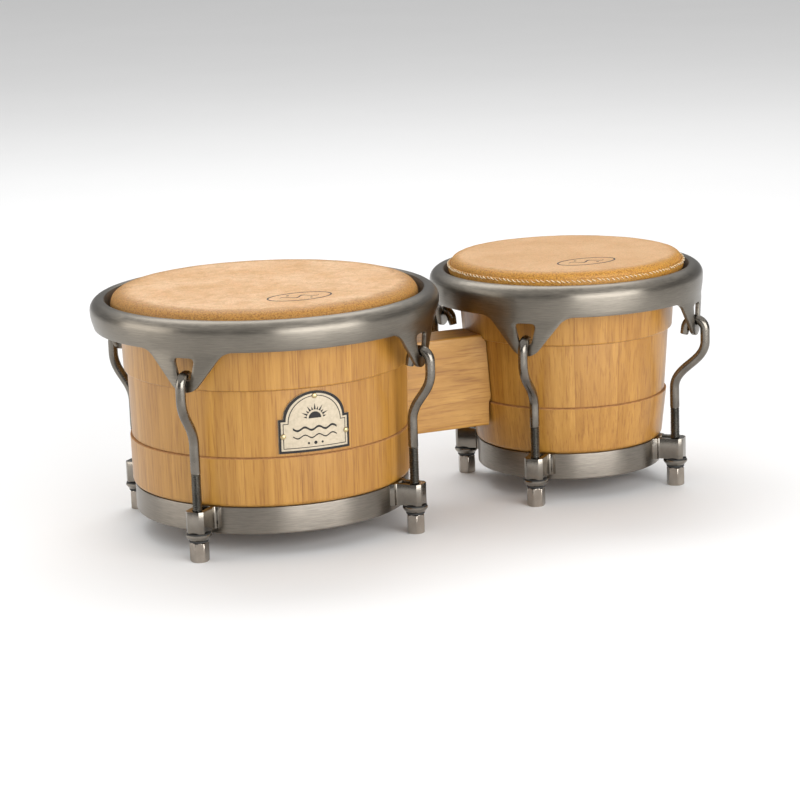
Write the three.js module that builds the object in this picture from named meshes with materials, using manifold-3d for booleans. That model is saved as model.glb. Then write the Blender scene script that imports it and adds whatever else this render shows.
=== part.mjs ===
// Bongo drums: a large and a small wooden drum joined by a centre block. Each drum has a skin head that a
// rolled rim pulls down over the shell, with four tuning hooks, brackets, washers and nuts.
// Millimetres, +Z up. +X runs from the large drum to the small drum and -Y is the front.
// The origin is at the centre of the footprint, on the plane of the nuts' lower faces.
import * as THREE from "three";
import { mergeVertices } from "three/addons/utils/BufferGeometryUtils.js";
import Module from "manifold-3d";

const wasm = await Module();
wasm.setup();

// ---- Driving dimensions ----
const FIT = 0.3; // gap between pieces that seat on each other
const ROUND = 40; // segments of every turned piece, so that neighbours' facets line up
const CURVE_STEPS = 5; // steps of an extruded outline's curves
const JOIN = 2; // how far two solids that become one piece run into each other
const CUT_REACH = 10; // how far a cutting solid runs past what it cuts
const RIM_GAP = 13.4; // between the two rims, at their widest
const HEAD_TOP = 175.3; // height of the large drum's crown

// The two drums. Radii are measured from the drum's own axis, and insets go in from the shell's radius.
const LARGE = {
  name: "large",
  shellRadius: 108.5, // of the bearing edge
  upperInsets: [5.3, 4.5], // of the upper band's lower and upper end
  middleInsets: [8.6, 7.9],
  lowerInsets: [7.9, 6.9],
  ringInset: 9.3, // of the base ring's outer face
  rodStandoff: 14.1, // from the base ring's face to the tuning rods' lower axes
  rimOverhang: 6.4, // from the skin's wrap to the widest point of the rim
  skirtTaper: 2.6, // how far the skirt's edge is inside that
  crownDrop: 0, // from HEAD_TOP to the crown
  rimDrop: 4.8, // from the crown to the rim's top
  bandHeight: 21, // from the rim's top to the edge of its skirt
  headCorner: 9.4, // radius of the skin's bend at the bearing edge
  bendDrop: 11, // from the floor of an ear's slot down to the end of its rod's bend
  lugTurn: -2.5, // degrees that the four lugs are turned from the diagonals
};
const SMALL = {
  name: "small",
  shellRadius: 84.7,
  upperInsets: [5.8, 4.3],
  middleInsets: [11.9, 8.9],
  lowerInsets: [14.3, 10.1],
  ringInset: 15.4,
  rodStandoff: 13.9,
  rimOverhang: 7.6,
  skirtTaper: 1.4,
  crownDrop: 1,
  rimDrop: 8.5,
  bandHeight: 22.1,
  headCorner: 5,
  bendDrop: 12,
  lugTurn: 1.2,
};
const DRUMS = [LARGE, SMALL];
const LUG_DIAGONALS = [-135, -45, 45, 135];

// Shell and base ring
const UPPER_DROP = 57; // from HEAD_TOP to the step between the upper and middle bands
const MIDDLE_BAND = 47.5; // height of the middle band, down to the groove over the lower band
const SHELL_WALL = 10;
const FLARE_HEIGHT = 13; // from the edge of the rim's skirt up to the bearing edge's full radius
const LOWER_ROUND = 4; // rounding of the lower band's lower edge
const UPPER_ROUND = [1, 2]; // the same for the upper band, across and up
const BEARING_DROP = 3.3; // height of the slope inside the bearing edge
const RING_HEIGHT = 19.4;
const RING_WALL = 2.2;
const RING_LIP = 7; // how far the base ring's lip reaches in under the shell

// Head and flesh hoop
const SKIN = 1.6;
const HOOP_BAR = 6; // section of the flesh hoop
const HOOP_ABOVE_BAND = 8.5; // the hoop's top above the edge of the rim's skirt

// Rim
const RIM_SHEET = 3;
const ROLL_WIDTH = 8.5; // from the rim's inner edge to its widest point
const ROLL_NOSE = 1; // how far the roll's lip leans in past that edge
const EAR_DROP = 28.5; // from the skirt's edge to the tip of an ear
const EAR_HALF_WIDTH = 29.4; // where the line of an ear's side meets the skirt's edge
const EAR_TIP_RADIUS = 13;
const EAR_FILLET = 14; // between an ear's side and the skirt's edge
const SLOT_TOP = 4.4; // below the skirt's edge
const SLOT_HEIGHT = 16.3;
const SLOT_CLEARANCE = 0.7; // between a hook and each side of the slot, at the slot's floor
const SLOT_FLARE = 8.2; // how much wider the slot's top is
const SLOT_CORNER = 2; // cut across the slot's upper corners, and depth of its curved floor

// Tuning hooks, brackets, washers and nuts
const ROD_RADIUS = 3.5;
const ROD_SIDES = 8;
const EAR_GAP = 2.4; // between an ear and each leg of the hook over it
const BEND_RISE = 36.5; // height of the bend that takes a rod out to its ear
const BEND_EASE = 0.45; // pull of the bend's two curve handles, as a share of its height
const HOOK_STUB = 5; // straight length of the hook's inner leg
const NUT_HEIGHT = 13.7;
const NUT_WALL = 2.05; // between the bore and the flats
const NUT_FLOOR = 2;
const ROD_END_GAP = 1; // between the nut's floor and the rod's end
const WASHER_HEIGHT = 6.6;
const WASHER_WIDTH = 5.4; // from the bore to the washer's edge
const WASHER_STEP = 1.2; // how far the washer's lower tier is inside the upper one
const SMALL_ROUND = 12; // segments of a washer and of a nut's bore
const BRACKET_OVER_RING = 0.8; // how far the bracket stands above the base ring
const RING_UNDER_BRACKET = 4.7; // how far the base ring reaches below the bracket
const BRACKET_STRAP = 3.2; // thickness of the bracket's strap
const STRAP_CORNER = 2.4; // cut across the strap's two outer corners
const BRACKET_FOOT = 3.6; // width of each welded foot beside the strap
const FOOT_THICKNESS = 2.6;

// Centre block and its bolts
const BLOCK_WIDTH = 32;
const BLOCK_OVER_RING = 17.9; // from the base rings' upper edge to the block's underside
const BLOCK_OVER_STEP = 4.1; // from the shells' upper step to the block's top
const BLOCK_CHAMFER = 1.6;
const BOLT_RADIUS = 3;
const BOLT_HEAD_RADIUS = 6.5;
const BOLT_HEAD_HEIGHT = 4.5;
const BOLT_GRIP = 20; // length of bolt in the block
const SPOT_FACE = 1; // depth of the flat that a bolt's head sits on, in the shell's wall

// Badge and its pins
const BADGE_ANGLE = -92; // degrees, on the large shell
const BADGE_WIDTH = 52;
const BADGE_ARCH_WIDTH = 45;
const BADGE_ARCH_RISE = 18.7;
const BADGE_MARGINS = [2.6, 2.1]; // from the middle band's lower and upper edges
const BADGE_SHEET = 1;
const PIN_RADIUS = 0.9;
const PIN_HEAD_RADIUS = 1.9;
const PIN_HEAD_HEIGHT = 0.9;
const PIN_HEAD_EASE = 0.57; // rounding of the head's edge
const PIN_DEPTH = 7;
const PIN_INSET = 3.4; // from the badge's edge to a pin's axis
const PIN_SIDES = 10;

// ---- Sizes that follow from them ----
const BORE_RADIUS = ROD_RADIUS + FIT;
const NUT_FLATS = 2 * (BORE_RADIUS + NUT_WALL);
const WASHER_RADIUS = BORE_RADIUS + WASHER_WIDTH;
const SLOT_WIDTHS = [2 * (ROD_RADIUS + SLOT_CLEARANCE), 2 * (ROD_RADIUS + SLOT_CLEARANCE) + SLOT_FLARE];
const WASHER_BOTTOM = NUT_HEIGHT + FIT;
const BRACKET_BOTTOM = WASHER_BOTTOM + WASHER_HEIGHT + FIT;
const RING_BOTTOM = BRACKET_BOTTOM - RING_UNDER_BRACKET;
const RING_TOP = RING_BOTTOM + RING_HEIGHT;
const BRACKET_HEIGHT = RING_TOP + BRACKET_OVER_RING - BRACKET_BOTTOM;
const ROD_END = NUT_FLOOR + ROD_END_GAP;
const UPPER_LINE = HEAD_TOP - UPPER_DROP;
const LOWER_LINE = UPPER_LINE - MIDDLE_BAND;
const BLOCK_BOTTOM = RING_TOP + BLOCK_OVER_RING;
const BLOCK_TOP = UPPER_LINE + BLOCK_OVER_STEP;
const BOLT_HEIGHTS = [1 / 4, 3 / 4].map((share) => BLOCK_BOTTOM + share * (BLOCK_TOP - BLOCK_BOTTOM));
const BADGE_BOTTOM = LOWER_LINE + BADGE_MARGINS[0];
const BADGE_TOP = UPPER_LINE - BADGE_MARGINS[1];
const BADGE_SHOULDER = BADGE_TOP - BADGE_ARCH_RISE;

for (const drum of DRUMS) {
  const inFromShell = (inset) => drum.shellRadius - inset;
  drum.upperRadii = drum.upperInsets.map(inFromShell);
  drum.middleRadii = drum.middleInsets.map(inFromShell);
  drum.lowerRadii = drum.lowerInsets.map(inFromShell);
  drum.ringRadius = drum.shellRadius - drum.ringInset;
  drum.rodCircle = drum.ringRadius + drum.rodStandoff;
  drum.skinRadius = drum.shellRadius + FIT + SKIN;
  drum.hoopRadius = drum.skinRadius + FIT;
  drum.wrapRadius = drum.hoopRadius + HOOP_BAR + FIT + SKIN;
  drum.rimRadius = drum.wrapRadius + drum.rimOverhang;
  drum.skirtRadius = drum.rimRadius - drum.skirtTaper;
  drum.headTop = HEAD_TOP - drum.crownDrop;
  drum.rimTop = drum.headTop - drum.rimDrop;
  drum.bandBottom = drum.rimTop - drum.bandHeight;
  drum.shellTop = drum.headTop - SKIN - FIT;
  drum.shellBottom = RING_BOTTOM + RING_WALL + FIT;
  drum.seatRadius = drum.ringRadius - RING_WALL - FIT;
  drum.boreBottomRadius = drum.seatRadius - SHELL_WALL;
  drum.boreTopRadius = drum.shellRadius - SHELL_WALL;
  drum.hoopTop = drum.bandBottom + HOOP_ABOVE_BAND;
  drum.slotTop = drum.bandBottom - SLOT_TOP;
  drum.slotBottom = drum.slotTop - SLOT_HEIGHT;
  drum.earTip = drum.bandBottom - EAR_DROP;
  drum.hookOuter = drum.skirtRadius + EAR_GAP + ROD_RADIUS;
  drum.hookInner = drum.skirtRadius - RIM_SHEET - EAR_GAP - ROD_RADIUS;
  drum.bendEnd = drum.slotBottom - drum.bendDrop;
  drum.bendStart = drum.bendEnd - BEND_RISE;
  drum.lugAngles = LUG_DIAGONALS.map((angle) => angle + drum.lugTurn);
}

const TOTAL_LENGTH = 2 * LARGE.rimRadius + RIM_GAP + 2 * SMALL.rimRadius;
LARGE.x = LARGE.rimRadius - TOTAL_LENGTH / 2;
SMALL.x = TOTAL_LENGTH / 2 - SMALL.rimRadius;

// ---- Geometry helpers ----
const radians = THREE.MathUtils.degToRad;

// A solid turned about Z from a closed profile of [radius, height] points, in either order.
function turned(profile, segments = ROUND) {
  const points = profile.map(([r, z]) => new THREE.Vector2(r, z));
  if (THREE.ShapeUtils.isClockWise(points)) points.reverse();
  if (!points.some((point) => point.x === 0)) points.push(points[0].clone());
  const turn = points.findIndex((point, i) => point.x === 0 && points[(i + 1) % points.length].x > 0);
  if (turn > 0) points.push(...points.splice(0, turn));
  return new THREE.LatheGeometry(points, segments).rotateX(Math.PI / 2);
}

// The points of an arc in [radius, height] form.
function arc([r, z], radius, from, to, steps) {
  return Array.from({ length: steps + 1 }, (_, i) => {
    const angle = radians(from + ((to - from) * i) / steps);
    return [r + radius * Math.cos(angle), z + radius * Math.sin(angle)];
  });
}

function solid(geometry) {
  const bare = geometry.clone();
  bare.deleteAttribute("normal");
  bare.deleteAttribute("uv");
  const merged = mergeVertices(bare, 1e-4);
  const mesh = new wasm.Mesh({
    numProp: 3,
    vertProperties: merged.attributes.position.array,
    triVerts: new Uint32Array(merged.index.array),
  });
  return new wasm.Manifold(mesh);
}

function geometryOf(manifold) {
  const mesh = manifold.getMesh();
  const geometry = new THREE.BufferGeometry();
  geometry.setAttribute("position", new THREE.BufferAttribute(mesh.vertProperties, 3));
  geometry.setIndex(new THREE.BufferAttribute(mesh.triVerts, 1));
  const flat = geometry.toNonIndexed();
  flat.computeVertexNormals();
  return flat;
}

// A flat outline in (across, height), pushed outward along +X from one radius to another.
function radialPrism(outline, from, to) {
  const options = { depth: to - from, bevelEnabled: false, curveSegments: CURVE_STEPS };
  const geometry = new THREE.ExtrudeGeometry(outline, options);
  const across = new THREE.Vector3(0, 1, 0);
  const up = new THREE.Vector3(0, 0, 1);
  const outward = new THREE.Vector3(1, 0, 0);
  return geometry.applyMatrix4(new THREE.Matrix4().makeBasis(across, up, outward)).translate(from, 0, 0);
}

function cylinderAlongX(radius, from, to, segments = 16) {
  const geometry = new THREE.CylinderGeometry(radius, radius, to - from, segments);
  return geometry.rotateZ(-Math.PI / 2).translate((from + to) / 2, 0, 0);
}

// ---- Materials ----
function finish(color, roughness, metalness) {
  return new THREE.MeshStandardMaterial({ color, roughness, metalness });
}

const WOOD = finish(0xcf9a55, 0.45, 0);
const BLOCK_WOOD = finish(0xd6a263, 0.45, 0);
const STEEL = finish(0x8d8880, 0.35, 1);
const DARK_STEEL = finish(0x6b665f, 0.4, 1);
const RAWHIDE = finish(0xe0b27c, 0.6, 0);
const BADGE_METAL = finish(0xd9cfae, 0.4, 0.6);

const bongos = new THREE.Group();

function place(name, geometry, material, parent) {
  const mesh = new THREE.Mesh(geometry, material);
  mesh.name = name;
  parent.add(mesh);
  return mesh;
}

// ---- Shell ----
// The shell's outside, from the foot to the bearing edge, grown by a gap.
function shellOutside(drum, gap = 0) {
  const [upperLow, upperHigh] = drum.upperRadii;
  const [middleLow, middleHigh] = drum.middleRadii;
  const [lowerLow, lowerHigh] = drum.lowerRadii;
  const [roundAcross, roundUp] = UPPER_ROUND;
  const flareTop = Math.min(drum.bandBottom + FLARE_HEIGHT, drum.shellTop - drum.headCorner);
  return [
    [drum.seatRadius + gap, drum.shellBottom],
    [drum.seatRadius + gap, RING_TOP + FIT],
    [lowerLow + gap, RING_TOP + FIT + LOWER_ROUND],
    [lowerHigh + gap, LOWER_LINE],
    [middleLow + gap, LOWER_LINE],
    [middleHigh + gap, UPPER_LINE],
    [upperLow - roundAcross + gap, UPPER_LINE],
    [upperLow + gap, UPPER_LINE + roundUp],
    [upperHigh + gap, drum.bandBottom],
    [drum.shellRadius + gap, flareTop],
  ];
}

function shell(drum) {
  const corner = drum.headCorner - SKIN;
  const edge = arc([drum.shellRadius - corner, drum.shellTop - corner], corner, 0, 90, 3);
  const profile = [
    ...shellOutside(drum),
    ...edge,
    [drum.boreTopRadius, drum.shellTop - BEARING_DROP],
    [drum.boreBottomRadius, drum.shellBottom],
  ];
  return solid(turned(profile));
}

// Inner radius of the shell at a height.
function boreRadiusAt(drum, height) {
  const share = (height - drum.shellBottom) / (drum.shellTop - BEARING_DROP - drum.shellBottom);
  return THREE.MathUtils.lerp(drum.boreBottomRadius, drum.boreTopRadius, share);
}

// ---- Head and flesh hoop ----
function head(drum) {
  const outer = drum.skinRadius;
  const inner = outer - SKIN;
  const centre = outer - drum.headCorner;
  const wrapTop = drum.hoopTop - SKIN;
  const wrapBottom = drum.hoopTop - HOOP_BAR - FIT;
  return turned([
    [0, drum.headTop],
    [centre, drum.headTop],
    ...arc([centre, drum.headTop - drum.headCorner], drum.headCorner, 90, 0, 3).slice(1),
    [outer, wrapBottom],
    [drum.wrapRadius - SKIN, wrapBottom],
    [drum.wrapRadius - SKIN, wrapTop],
    [drum.wrapRadius, wrapTop],
    [drum.wrapRadius, wrapBottom - SKIN],
    [inner, wrapBottom - SKIN],
    ...arc([centre, drum.headTop - drum.headCorner], drum.headCorner - SKIN, 0, 90, 3),
    [0, drum.headTop - SKIN],
  ]);
}

function fleshHoop(drum) {
  const { hoopRadius, hoopTop } = drum;
  return turned([
    [hoopRadius, hoopTop - HOOP_BAR],
    [hoopRadius + HOOP_BAR, hoopTop - HOOP_BAR],
    [hoopRadius + HOOP_BAR, hoopTop],
    [hoopRadius, hoopTop],
  ]);
}

// ---- Rim ----
// The rolled hoop: an inner leg that presses on the flesh hoop, a rounded top and an outer skirt.
function rimHoop(drum) {
  const { rimRadius, rimTop, bandBottom, skirtRadius } = drum;
  const rollCentre = [rimRadius - ROLL_WIDTH, rimTop - ROLL_WIDTH];
  const legInner = drum.hoopRadius + (HOOP_BAR - RIM_SHEET) / 2;
  const legBottom = drum.hoopTop + FIT;
  const innerEdge = rimRadius - ROLL_WIDTH;
  return turned([
    [legInner, legBottom],
    [legInner + RIM_SHEET, legBottom],
    [innerEdge + RIM_SHEET / 2, rimTop - 2 * RIM_SHEET + ROLL_NOSE],
    ...arc(rollCentre, ROLL_WIDTH - RIM_SHEET, 75, 0, 2),
    [skirtRadius - RIM_SHEET, bandBottom],
    [skirtRadius, bandBottom],
    ...arc(rollCentre, ROLL_WIDTH, 0, 90, 3),
    [innerEdge - ROLL_NOSE, rimTop - RIM_SHEET],
  ]);
}

// A rounded V: the sides leave the tip's arc as tangents and run into the skirt's edge over a fillet.
function earOutline({ bandBottom, earTip }) {
  const tipCentre = earTip + EAR_TIP_RADIUS;
  const rise = bandBottom - tipCentre;
  const reach = Math.hypot(EAR_HALF_WIDTH, rise);
  const tangentAngle = Math.atan2(rise, EAR_HALF_WIDTH) - Math.acos(EAR_TIP_RADIUS / reach);
  const slope = tangentAngle + Math.PI / 2;
  const cornerToFillet = EAR_FILLET * Math.tan(slope / 2);
  const filletAcross = EAR_HALF_WIDTH + cornerToFillet;
  const filletCentre = bandBottom - EAR_FILLET;
  const outline = new THREE.Shape();
  outline.moveTo(-filletAcross, bandBottom + JOIN);
  outline.absarc(-filletAcross, filletCentre, EAR_FILLET, Math.PI / 2, Math.PI / 2 - slope, true);
  outline.absarc(0, tipCentre, EAR_TIP_RADIUS, Math.PI - tangentAngle, 2 * Math.PI + tangentAngle, false);
  outline.absarc(filletAcross, filletCentre, EAR_FILLET, Math.PI / 2 + slope, Math.PI / 2, true);
  outline.lineTo(filletAcross, bandBottom + JOIN);
  return outline;
}

function slotOutline(drum) {
  const [low, high] = SLOT_WIDTHS;
  const outline = new THREE.Shape();
  const cornerBottom = drum.slotTop - SLOT_CORNER / 2;
  const floorSide = drum.slotBottom + SLOT_CORNER;
  outline.moveTo(-high / 2, cornerBottom);
  outline.lineTo(-low / 2, floorSide);
  outline.quadraticCurveTo(0, drum.slotBottom - SLOT_CORNER, low / 2, floorSide);
  outline.lineTo(high / 2, cornerBottom);
  outline.lineTo(high / 2 - SLOT_CORNER, drum.slotTop);
  outline.lineTo(-high / 2 + SLOT_CORNER, drum.slotTop);
  return outline;
}

function rim(drum) {
  const { skirtRadius, bandBottom, earTip, rimRadius } = drum;
  const skirt = solid(turned([
    [skirtRadius - RIM_SHEET, earTip - CUT_REACH],
    [skirtRadius, earTip - CUT_REACH],
    [skirtRadius, bandBottom + JOIN / 4],
    [skirtRadius - RIM_SHEET, bandBottom + JOIN / 4],
  ]));
  const reach = [skirtRadius / 2, rimRadius + CUT_REACH];
  const ear = solid(radialPrism(earOutline(drum), ...reach));
  const slot = solid(radialPrism(slotOutline(drum), ...reach));
  const blank = ear.subtract(slot);
  const ears = drum.lugAngles.map((angle) => skirt.intersect(blank.rotate([0, 0, angle])));
  return ears.reduce((hoop, one) => hoop.add(one), solid(rimHoop(drum)));
}

// ---- Base ring ----
function baseRing(drum) {
  const { ringRadius } = drum;
  return turned([
    [ringRadius - RING_WALL - RING_LIP, RING_BOTTOM],
    [ringRadius, RING_BOTTOM],
    [ringRadius, RING_TOP],
    [ringRadius - RING_WALL, RING_TOP],
    [ringRadius - RING_WALL, RING_BOTTOM + RING_WALL],
    [ringRadius - RING_WALL - RING_LIP, RING_BOTTOM + RING_WALL],
  ]);
}

// ---- Brackets ----
// A strap bent square round the rod, with two welded feet that follow the base ring.
function bracket(drum) {
  const halfStrap = BORE_RADIUS + BRACKET_STRAP;
  const halfFoot = halfStrap + BRACKET_FOOT;
  const front = drum.rodCircle + halfStrap;
  const backRadius = drum.ringRadius + FIT;
  const footRadius = backRadius + FOOT_THICKNESS;
  const backAngle = Math.asin(halfFoot / backRadius);
  const outline = new THREE.Shape();
  outline.absarc(0, 0, backRadius, backAngle, -backAngle, true);
  outline.lineTo(footRadius, -halfFoot);
  outline.lineTo(footRadius, -halfStrap);
  outline.lineTo(front - STRAP_CORNER, -halfStrap);
  outline.lineTo(front, -halfStrap + STRAP_CORNER);
  outline.lineTo(front, halfStrap - STRAP_CORNER);
  outline.lineTo(front - STRAP_CORNER, halfStrap);
  outline.lineTo(footRadius, halfStrap);
  outline.lineTo(footRadius, halfFoot);
  const bore = new THREE.Path();
  bore.absarc(drum.rodCircle, 0, BORE_RADIUS, -Math.PI / 2, Math.PI / 2, false);
  bore.lineTo(footRadius, BORE_RADIUS);
  bore.lineTo(footRadius, -BORE_RADIUS);
  outline.holes.push(bore);
  return new THREE.ExtrudeGeometry(outline, { depth: BRACKET_HEIGHT, bevelEnabled: false, curveSegments: 4 });
}

// ---- Tuning hooks ----
// A path in the (radius, height) plane made of spans, each with its own number of sections.
class SteppedPath extends THREE.Curve {
  constructor(spans) {
    super();
    this.spans = spans;
    this.steps = spans.reduce((sum, [, steps]) => sum + steps, 0);
  }

  getPoint(t, target = new THREE.Vector3()) {
    let step = t * this.steps;
    for (const [curve, steps] of this.spans) {
      if (step <= steps || curve === this.spans.at(-1)[0]) {
        const { x, y } = curve.getPoint(Math.min(step / steps, 1));
        return target.set(x, 0, y);
      }
      step -= steps;
    }
    return target;
  }

  getUtoTmapping(u) {
    return u;
  }
}

function hookPath(drum) {
  const { rodCircle, hookOuter, hookInner, slotBottom, bendStart, bendEnd } = drum;
  const bend = (hookOuter - hookInner) / 2;
  const seatHalf = RIM_SHEET / 2;
  const centreOverFloor = Math.sqrt((bend - ROD_RADIUS) ** 2 - seatHalf ** 2);
  const bendHeight = slotBottom - centreOverFloor + FIT;
  const point = (r, z) => new THREE.Vector2(r, z);
  const ease = BEND_RISE * BEND_EASE;
  return new SteppedPath([
    [new THREE.LineCurve(point(rodCircle, ROD_END), point(rodCircle, bendStart)), 1],
    [new THREE.CubicBezierCurve(
      point(rodCircle, bendStart), point(rodCircle, bendStart + ease),
      point(hookOuter, bendEnd - ease), point(hookOuter, bendEnd),
    ), 6],
    [new THREE.LineCurve(point(hookOuter, bendEnd), point(hookOuter, bendHeight)), 1],
    [new THREE.EllipseCurve(hookInner + bend, bendHeight, bend, bend, 0, Math.PI, false, 0), 6],
    [new THREE.LineCurve(point(hookInner, bendHeight), point(hookInner, bendHeight - HOOK_STUB)), 1],
  ]);
}

function hook(drum) {
  const path = hookPath(drum);
  const section = new THREE.Shape().absarc(0, 0, ROD_RADIUS, 0, 2 * Math.PI, false);
  const options = { steps: path.steps, extrudePath: path, curveSegments: ROD_SIDES / 2, bevelEnabled: false };
  return new THREE.ExtrudeGeometry(section, options);
}

// ---- Washers and nuts ----
function washer(drum) {
  const ring = turned([
    [BORE_RADIUS, WASHER_BOTTOM],
    [WASHER_RADIUS - WASHER_STEP, WASHER_BOTTOM],
    [WASHER_RADIUS - WASHER_STEP, WASHER_BOTTOM + WASHER_HEIGHT / 2],
    [WASHER_RADIUS, WASHER_BOTTOM + WASHER_HEIGHT / 2],
    [WASHER_RADIUS, WASHER_BOTTOM + WASHER_HEIGHT],
    [BORE_RADIUS, WASHER_BOTTOM + WASHER_HEIGHT],
  ], SMALL_ROUND);
  return ring.translate(drum.rodCircle, 0, 0);
}

// A long hexagon nut with a closed lower end, which stands on the floor.
function nut(drum) {
  const acrossCorners = NUT_FLATS / Math.cos(Math.PI / 6);
  const hexagon = new THREE.CylinderGeometry(acrossCorners / 2, acrossCorners / 2, NUT_HEIGHT, 6);
  const body = solid(hexagon.rotateX(Math.PI / 2).translate(0, 0, NUT_HEIGHT / 2));
  const boreTop = NUT_HEIGHT + CUT_REACH;
  const boreProfile = [[0, NUT_FLOOR], [BORE_RADIUS, NUT_FLOOR], [BORE_RADIUS, boreTop], [0, boreTop]];
  const bore = turned(boreProfile, SMALL_ROUND);
  return body.subtract(solid(bore)).translate([drum.rodCircle, 0, 0]);
}

// ---- Centre block, bolts, badge and pins ----
function outsideSolid(drum, gap) {
  const top = drum.shellTop - drum.headCorner;
  const profile = [[0, drum.shellBottom], ...shellOutside(drum, gap), [0, top]];
  return solid(turned(profile)).translate([drum.x, 0, 0]);
}

function centreBlock() {
  const half = BLOCK_WIDTH / 2;
  const cut = BLOCK_CHAMFER;
  const outline = new THREE.Shape([
    [-half + cut, BLOCK_BOTTOM], [half - cut, BLOCK_BOTTOM],
    [half, BLOCK_BOTTOM + cut], [half, BLOCK_TOP - cut],
    [half - cut, BLOCK_TOP], [-half + cut, BLOCK_TOP],
    [-half, BLOCK_TOP - cut], [-half, BLOCK_BOTTOM + cut],
  ].map(([y, z]) => new THREE.Vector2(y, z)));
  const blank = solid(radialPrism(outline, LARGE.x, SMALL.x));
  return blank.subtract(outsideSolid(LARGE, FIT)).subtract(outsideSolid(SMALL, FIT));
}

// One bolt for each drum and height, pointing from inside the shell into the block.
const BOLTS = DRUMS.flatMap((drum) => BOLT_HEIGHTS.map((height, i) => {
  const inward = drum === LARGE ? 1 : -1;
  const seat = boreRadiusAt(drum, height - BOLT_HEAD_RADIUS) + SPOT_FACE;
  const tip = Math.max(...drum.middleRadii, ...drum.lowerRadii) + BOLT_GRIP;
  return { drum, height, inward, seat, tip, name: `${drum.name}_block_bolt_${i + 1}` };
}));

// With a gap it is the hole for the bolt, whose head part runs out into the bore.
function boltSolid({ seat, tip, height, inward, drum }, gap = 0) {
  const under = seat - FIT; // of the head
  const headDepth = gap ? BOLT_HEAD_HEIGHT + CUT_REACH : BOLT_HEAD_HEIGHT;
  const shank = solid(cylinderAlongX(BOLT_RADIUS + gap, under - JOIN, tip + gap));
  const headSolid = solid(cylinderAlongX(BOLT_HEAD_RADIUS + gap, under - headDepth, under + gap));
  const bolt = shank.add(headSolid).rotate([0, 0, inward > 0 ? 0 : 180]);
  return bolt.translate([drum.x, 0, height]);
}

function badgeOutline() {
  const half = BADGE_WIDTH / 2;
  const archHalf = BADGE_ARCH_WIDTH / 2;
  const archRise = BADGE_TOP - BADGE_SHOULDER;
  const outline = new THREE.Shape();
  outline.moveTo(-half, BADGE_BOTTOM);
  outline.lineTo(half, BADGE_BOTTOM);
  outline.lineTo(half, BADGE_SHOULDER);
  outline.lineTo(archHalf, BADGE_SHOULDER);
  outline.absellipse(0, BADGE_SHOULDER, archHalf, archRise, 0, Math.PI, false, 0);
  outline.lineTo(-half, BADGE_SHOULDER);
  return outline;
}

// The badge follows the middle band of the large shell.
function badgeSolid() {
  const [low, high] = LARGE.middleRadii;
  const sheet = solid(turned([
    [low + FIT, LOWER_LINE],
    [low + FIT + BADGE_SHEET, LOWER_LINE],
    [high + FIT + BADGE_SHEET, UPPER_LINE],
    [high + FIT, UPPER_LINE],
  ]));
  const plate = solid(radialPrism(badgeOutline(), low / 2, high + CUT_REACH)).rotate([0, 0, BADGE_ANGLE]);
  return sheet.intersect(plate).translate([LARGE.x, 0, 0]);
}

const PIN_PLACES = {
  top: [0, BADGE_TOP - PIN_INSET],
  left: [-(BADGE_WIDTH / 2 - PIN_INSET), (BADGE_BOTTOM + BADGE_SHOULDER) / 2],
  right: [BADGE_WIDTH / 2 - PIN_INSET, (BADGE_BOTTOM + BADGE_SHOULDER) / 2],
};

// With a gap it is the hole for the pin, without the head's wider part.
function pinSolid([across, height], gap = 0) {
  const [low, high] = LARGE.middleRadii;
  const face = THREE.MathUtils.mapLinear(height, LOWER_LINE, UPPER_LINE, low, high) + 2 * FIT + BADGE_SHEET;
  const headEdge = gap
    ? [[PIN_RADIUS + gap, PIN_HEAD_HEIGHT]]
    : [[PIN_HEAD_RADIUS, 0], [PIN_HEAD_RADIUS - PIN_HEAD_EASE, PIN_HEAD_HEIGHT - PIN_HEAD_EASE / 3]];
  const pin = solid(turned([
    [0, -PIN_DEPTH - gap],
    [PIN_RADIUS + gap, -PIN_DEPTH - gap],
    [PIN_RADIUS + gap, 0],
    ...headEdge,
    [0, PIN_HEAD_HEIGHT],
  ], PIN_SIDES));
  const turn = BADGE_ANGLE + THREE.MathUtils.radToDeg(Math.asin(across / face));
  return pin.rotate([0, 90, 0]).translate([face, 0, height]).rotate([0, 0, turn]).translate([LARGE.x, 0, 0]);
}

// ---- Assembly ----
const boltHoles = BOLTS.map((bolt) => boltSolid(bolt, FIT));
const pinHoles = Object.values(PIN_PLACES).map((spot) => pinSolid(spot, FIT));
const cutFrom = (body, holes) => holes.reduce((rest, hole) => rest.subtract(hole), body);

for (const drum of DRUMS) {
  const group = new THREE.Group();
  group.position.x = drum.x;
  bongos.add(group);
  const holes = [...boltHoles, ...pinHoles].map((hole) => hole.translate([-drum.x, 0, 0]));
  place(`${drum.name}_shell`, geometryOf(cutFrom(shell(drum), holes)), WOOD, group);
  place(`${drum.name}_head`, head(drum), RAWHIDE, group);
  place(`${drum.name}_flesh_hoop`, fleshHoop(drum), STEEL, group);
  place(`${drum.name}_rim`, geometryOf(rim(drum)), STEEL, group);
  place(`${drum.name}_base_ring`, baseRing(drum), STEEL, group);
  drum.lugAngles.forEach((angle, i) => {
    const lug = new THREE.Group();
    lug.rotation.z = radians(angle);
    group.add(lug);
    place(`${drum.name}_bracket_${i + 1}`, bracket(drum).translate(0, 0, BRACKET_BOTTOM), DARK_STEEL, lug);
    place(`${drum.name}_hook_${i + 1}`, hook(drum), STEEL, lug);
    place(`${drum.name}_washer_${i + 1}`, washer(drum), DARK_STEEL, lug);
    place(`${drum.name}_nut_${i + 1}`, geometryOf(nut(drum)), DARK_STEEL, lug);
  });
}

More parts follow.
